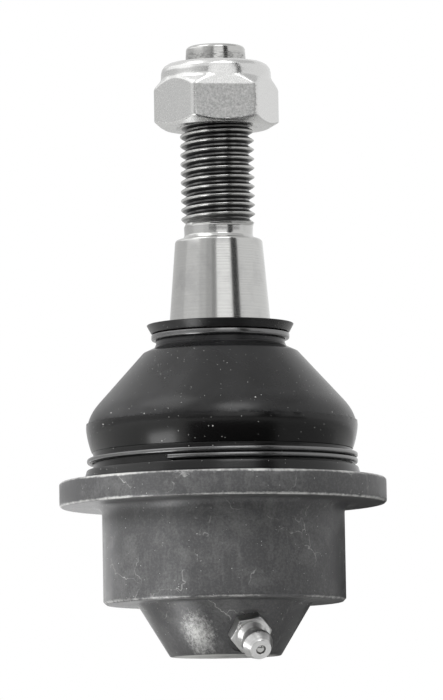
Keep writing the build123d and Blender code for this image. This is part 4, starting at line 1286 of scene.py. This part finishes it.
def make_fitting(sizes, seat):
    """The grease fitting: a turned blank with its hexagon pressed in."""
    corner = sizes.across_flats / sqrt(3)
    chamfer = sizes.hexagon_chamfer
    fitting = turned("grease_fitting", [
        (0, -sizes.shank_length),
        (sizes.shank_radius, -sizes.shank_length, sizes.shank_edge),
        (sizes.shank_radius, 0),
        (corner, 0),
        (corner, sizes.hexagon_height - chamfer * 0.8),
        (corner - chamfer * 1.4, sizes.hexagon_height),
        (sizes.root_radius, sizes.hexagon_height, sizes.fine_edge),
        (sizes.neck_radius, sizes.hexagon_height + sizes.root_height, sizes.neck_fillet),
        (sizes.neck_radius, sizes.neck_top, sizes.broken_edge),
        (sizes.head_radius, sizes.head_foot, sizes.head_edge),
        (sizes.head_radius, sizes.head_top, sizes.head_round),
        (sizes.tip_radius, sizes.tip, sizes.broken_edge),
        (sizes.hole_radius, sizes.tip, sizes.fine_edge),
        (sizes.hole_radius, sizes.tip - sizes.hole_depth),
        (sizes.chamber_radius, sizes.tip - sizes.hole_depth),
        (sizes.chamber_radius, sizes.chamber_foot),
        (0, sizes.chamber_foot),
    ], sizes.steps, spacing=sizes.row_spacing * 2)

    def press(radius, turn, height):
        """Press the hexagon's flats in."""
        if not -WELD < height < sizes.hexagon_height + WELD or radius < sizes.root_radius:
            return radius
        flat = sizes.across_flats / 2
        hexagon = hexagon_radius(turn, flat, sizes.hexagon_turn, sizes.corner_softness)
        return soft_min(radius, hexagon, sizes.chamfer_softness)

    reshape(fitting, press)
    place(fitting, seat)
    return fitting


def make_check_spring(sizes, seat):
    """The coil spring behind the check ball, and the two ends between which it gives."""
    wire = sizes.spring_wire
    ball_radius = (CHECK_BALL_HIGH.z - CHECK_BALL_LOW.z) / 2
    foot = sizes.chamber_foot + wire / 2
    top = sizes.ball_height - sqrt((ball_radius + wire / 2) ** 2 - sizes.spring_radius ** 2)
    turns = sizes.spring_turns
    spring = flat_wire("check_ball_spring", sizes.spring_radius, foot, wire, wire, wire * 0.48)
    wind_wire(spring, 2 * pi * turns, (top - foot) / turns, 24, seat, wire / 10)
    return spring, seat @ Vector((0, 0, foot)), seat @ Vector((0, 0, top - wire))


# ---- Operators ----
class BALLJOINT_OT_housing(Operator):
    """Model the forged housing and finish the pieces inside it."""

    bl_idname = "balljoint.housing"
    bl_label = "Forged housing"

    def execute(self, context):
        sizes, fitting = context.scene.housing_sizes, context.scene.fitting_sizes
        finish = context.scene.finishes
        forging = make_material("phosphated forging", phosphated_forging, finish, sizes)
        finish_piece(make_housing(sizes, fitting, fitting_seat(fitting)), forging,
                     "housing", ["housing"])
        iron = make_material("sintered iron", sintered_iron, finish)
        strip = make_material("hardened strip", hardened_strip, finish)
        for node, material in (("upper_bearing", iron), ("lower_bearing", iron),
                               ("preload_spring", strip), ("cover_ring", strip)):
            dress(node, material)
        return {"FINISHED"}


class BALLJOINT_OT_stud(Operator):
    """Model the ball stud with its real thread."""

    bl_idname = "balljoint.stud"
    bl_label = "Ball stud"

    def execute(self, context):
        sizes = context.scene.stud_sizes
        steel = make_material("turned steel", turned_steel, context.scene.finishes, sizes)
        finish_piece(make_stud(sizes), steel, "stud", ["ball_stud"], sharp=40)
        return {"FINISHED"}


class BALLJOINT_OT_boot(Operator):
    """Model the rubber boot as two rings that meet on its cone."""

    bl_idname = "balljoint.boot"
    bl_label = "Rubber boot"

    def execute(self, context):
        sizes = context.scene.boot_sizes
        lower, upper = make_boots(sizes, context.scene.stud_sizes)
        rubber = make_material("moulded rubber", moulded_rubber, context.scene.finishes, sizes)
        finish_piece(lower, rubber, None, ["boot"])
        finish_piece(upper, rubber, None, ["boot"])
        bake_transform(lower)
        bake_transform(upper)
        return {"FINISHED"}


class BALLJOINT_OT_clips(Operator):
    """Model the two clips that hold the boot."""

    bl_idname = "balljoint.clips"
    bl_label = "Boot clips"

    def execute(self, context):
        sizes = context.scene.clip_sizes
        wire = make_material("blackened wire", blackened_wire, context.scene.finishes)
        for make, body, node in ((make_lower_clip, "housing", "boot_lower_clip"),
                                 (make_upper_clip, "boot_neck", "boot_upper_clip")):
            finish_piece(make(sizes), wire, body, [node])
        return {"FINISHED"}


class BALLJOINT_OT_nut(Operator):
    """Model the lock nut and finish its insert."""

    bl_idname = "balljoint.nut"
    bl_label = "Lock nut"

    def execute(self, context):
        sizes, finish = context.scene.nut_sizes, context.scene.finishes
        zinc = make_material("zinc plate on the nut", zinc_nut_plate, finish, sizes)
        nut = make_nut(sizes, context.scene.stud_sizes)
        finish_piece(nut, zinc, "nut", ["lock_nut"], sharp=40)
        dress("nut_insert", make_material("natural nylon", natural_nylon, finish))
        return {"FINISHED"}


class BALLJOINT_OT_fitting(Operator):
    """Model the grease fitting with its spring, and finish its check ball."""

    bl_idname = "balljoint.fitting"
    bl_label = "Grease fitting"

    def execute(self, context):
        sizes, finish = context.scene.fitting_sizes, context.scene.finishes
        seat = fitting_seat(sizes)
        zinc = make_material("zinc plate on the fitting", zinc_fitting_plate, finish, seat)
        finish_piece(make_fitting(sizes, seat), zinc, "housing", ["fitting_body"])
        steel = make_material("turned steel", turned_steel, finish, context.scene.stud_sizes)
        dress("fitting_ball", steel)
        strip = make_material("hardened strip", hardened_strip, finish)
        spring, foot, top = make_check_spring(sizes, seat)
        finish_piece(spring, strip, None, ["fitting_spring"])
        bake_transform(spring)
        return {"FINISHED"}


class BALLJOINT_OT_stage(Operator):
    """Lay the floor and set the lights and the camera."""

    bl_idname = "balljoint.stage"
    bl_label = "Stage"

    def execute(self, context):
        scene = context.scene
        settings = scene.stage_settings
        make_floor(settings, scene.finishes)
        light_studio(scene, settings)
        set_camera(scene, settings)
        return {"FINISHED"}


def make_floor(settings, finish):
    """A pale round floor just under the part."""
    deselect_all()
    bpy.ops.mesh.primitive_circle_add(
        vertices=96, radius=settings.floor_radius, fill_type="NGON",
        location=(0, 0, cad_low.z - settings.floor_gap),
    )
    floor = bpy.context.object
    floor.name = "studio_floor"
    floor.data.materials.append(make_material("pale floor", pale_floor, finish))


CARD_STEP = 5  # Degrees between two folds of a curved card
# Studio cards around the part, seen only in its reflections: where each starts and ends in
# degrees to the right of the camera, the radius and height of its two edges in metres, and
# its brightness.
CARDS = {
    "left_rear_card": (-178, -93, 1.6, -0.03, 1.6, 0.62, 0.74),
    "left_card": (-93, -50, 1.6, -0.03, 1.6, 0.62, 0.92),
    "dim_card": (-50, -33, 1.6, -0.03, 1.6, 1.0, 0.78),
    "dimmer_card": (-33, -18, 1.6, 0.14, 1.6, 1.0, 0.62),
    "dark_card": (-18, -7, 1.6, 0.14, 1.6, 1.0, 0.40),
    "strip_light": (-7, 30, 1.6, 0.14, 1.6, 0.62, 1.40),
    "strip_top": (-7, 30, 1.6, 0.62, 1.6, 1.3, 1.05),
    "black_flag": (30.5, 49, 1.6, 0.14, 1.6, 2.2, 0.05),
    "low_flag": (-33, 75, 1.6, -0.03, 1.6, 0.14, 0.10),
    "left_box": (-125, -55, 1.6, 0.64, 1.6, 1.3, 1.6),
    "front_box": (-2, 38, 1.6, 1.3, 1.6, 2.3, 5.0),
    "top_left_box": (-100, -42, 1.6, 1.5, 1.6, 4.5, 2.7),
    "top_right_flag": (60, 150, 1.6, 1.6, 1.6, 6.0, 0.7),
    "floor_light": (-62, -38, 0.02, -0.027, 0.17, -0.027, 5.5),
    "floor_card": (-5, 60, 0.02, -0.027, 0.04, -0.027, 0.9),
    "floor_mat": (-28, 45, 0.04, -0.027, 0.35, -0.027, 0.03),
    "floor_dim": (45, 110, 0.04, -0.027, 0.35, -0.027, 0.45),
    "rear_left_box": (-165, -105, 0.06, -0.027, 0.06, 0.010, 1.7),
    # A dark strip low at the rear right paints the part's own shadow on the floor into its
    # reflections.
    "rear_right_flag": (105, 165, 0.06, -0.027, 0.06, 0.010, 0.03),
}


def make_card(name, start, end, near, low, far, high, brightness):
    """A curved studio card that shines evenly and shows only in reflections."""
    card = outline(name, [(near, low), (far, high)])
    spin(card, ceil((end - start) / CARD_STEP), radians(end - start))
    place(card, Matrix.Rotation(radians(start) - pi / 2, 4, "Z"))
    card.visible_diffuse = card.visible_shadow = False
    card.data.materials.append(make_material(name, lit_card, brightness))


def light_studio(scene, settings):
    """The white room, the cards, and a key light from the left."""
    scene.world = build(bpy.data.worlds.new("studio"), white_room, settings.room_light)
    for name, values in CARDS.items():
        make_card(name, *values)
    lamp = bpy.data.lights.new("key", "AREA")
    lamp.shape = "SQUARE"
    lamp.size = settings.key_size
    lamp.energy = settings.key_power
    holder = bpy.data.objects.new("key", lamp)
    holder.location = settings.key_place
    holder.visible_glossy = False
    holder.rotation_euler = (-holder.location).to_track_quat("-Z", "Y").to_euler()
    scene.collection.objects.link(holder)


def set_camera(scene, settings):
    """The camera below the part's middle, looking slightly up."""
    lens = bpy.data.cameras.new("camera")
    lens.lens = settings.focal_length
    lens.sensor_width = 36  # Millimetres, as the focal length
    lens.clip_end = 100
    camera = bpy.data.objects.new("camera", lens)
    camera.location = (settings.camera_aside, -settings.camera_distance, settings.camera_height)
    upright = Matrix.Rotation(pi / 2 + settings.camera_pitch, 4, "X")
    camera.rotation_euler = (upright @ Matrix.Rotation(settings.camera_roll, 4, "Z")).to_euler()
    scene.collection.objects.link(camera)
    scene.camera = camera
    scene.view_settings.view_transform = "Standard"


class BALLJOINT_PT_build(Panel):
    """Buttons that build the ball joint piece by piece."""

    bl_idname = "BALLJOINT_PT_build"
    bl_label = "Ball joint"
    bl_space_type = "VIEW_3D"
    bl_region_type = "UI"
    bl_category = "Ball joint"

    def draw(self, context):
        for operator in OPERATORS:
            self.layout.operator(operator.bl_idname)
        for group in GROUPS:
            box = self.layout.box()
            settings = getattr(context.scene, group)
            for name in settings.bl_rna.properties.keys():
                if name not in ("rna_type", "name"):
                    box.prop(settings, name)


GROUPS = {
    "housing_sizes": HousingSizes,
    "stud_sizes": StudSizes,
    "nut_sizes": NutSizes,
    "boot_sizes": BootSizes,
    "clip_sizes": ClipSizes,
    "fitting_sizes": FittingSizes,
    "finishes": Finishes,
    "stage_settings": StageSettings,
}
OPERATORS = (
    BALLJOINT_OT_housing,
    BALLJOINT_OT_stud,
    BALLJOINT_OT_boot,
    BALLJOINT_OT_clips,
    BALLJOINT_OT_nut,
    BALLJOINT_OT_fitting,
    BALLJOINT_OT_stage,
)
CLASSES = (*GROUPS.values(), *OPERATORS, BALLJOINT_PT_build)


def register():
    """Register the classes and hang the property groups on the scene."""
    for group in CLASSES:
        bpy.utils.register_class(group)
    for name, group in GROUPS.items():
        setattr(bpy.types.Scene, name, PointerProperty(type=group))


def unregister():
    """Take the property groups and classes away again."""
    for name in GROUPS:
        delattr(bpy.types.Scene, name)
    for group in reversed(CLASSES):
        bpy.utils.unregister_class(group)


def main():
    register()
    for operator in OPERATORS:
        group, name = operator.bl_idname.split(".")
        getattr(getattr(bpy.ops, group), name)()


if __name__ == "__main__":
    main()
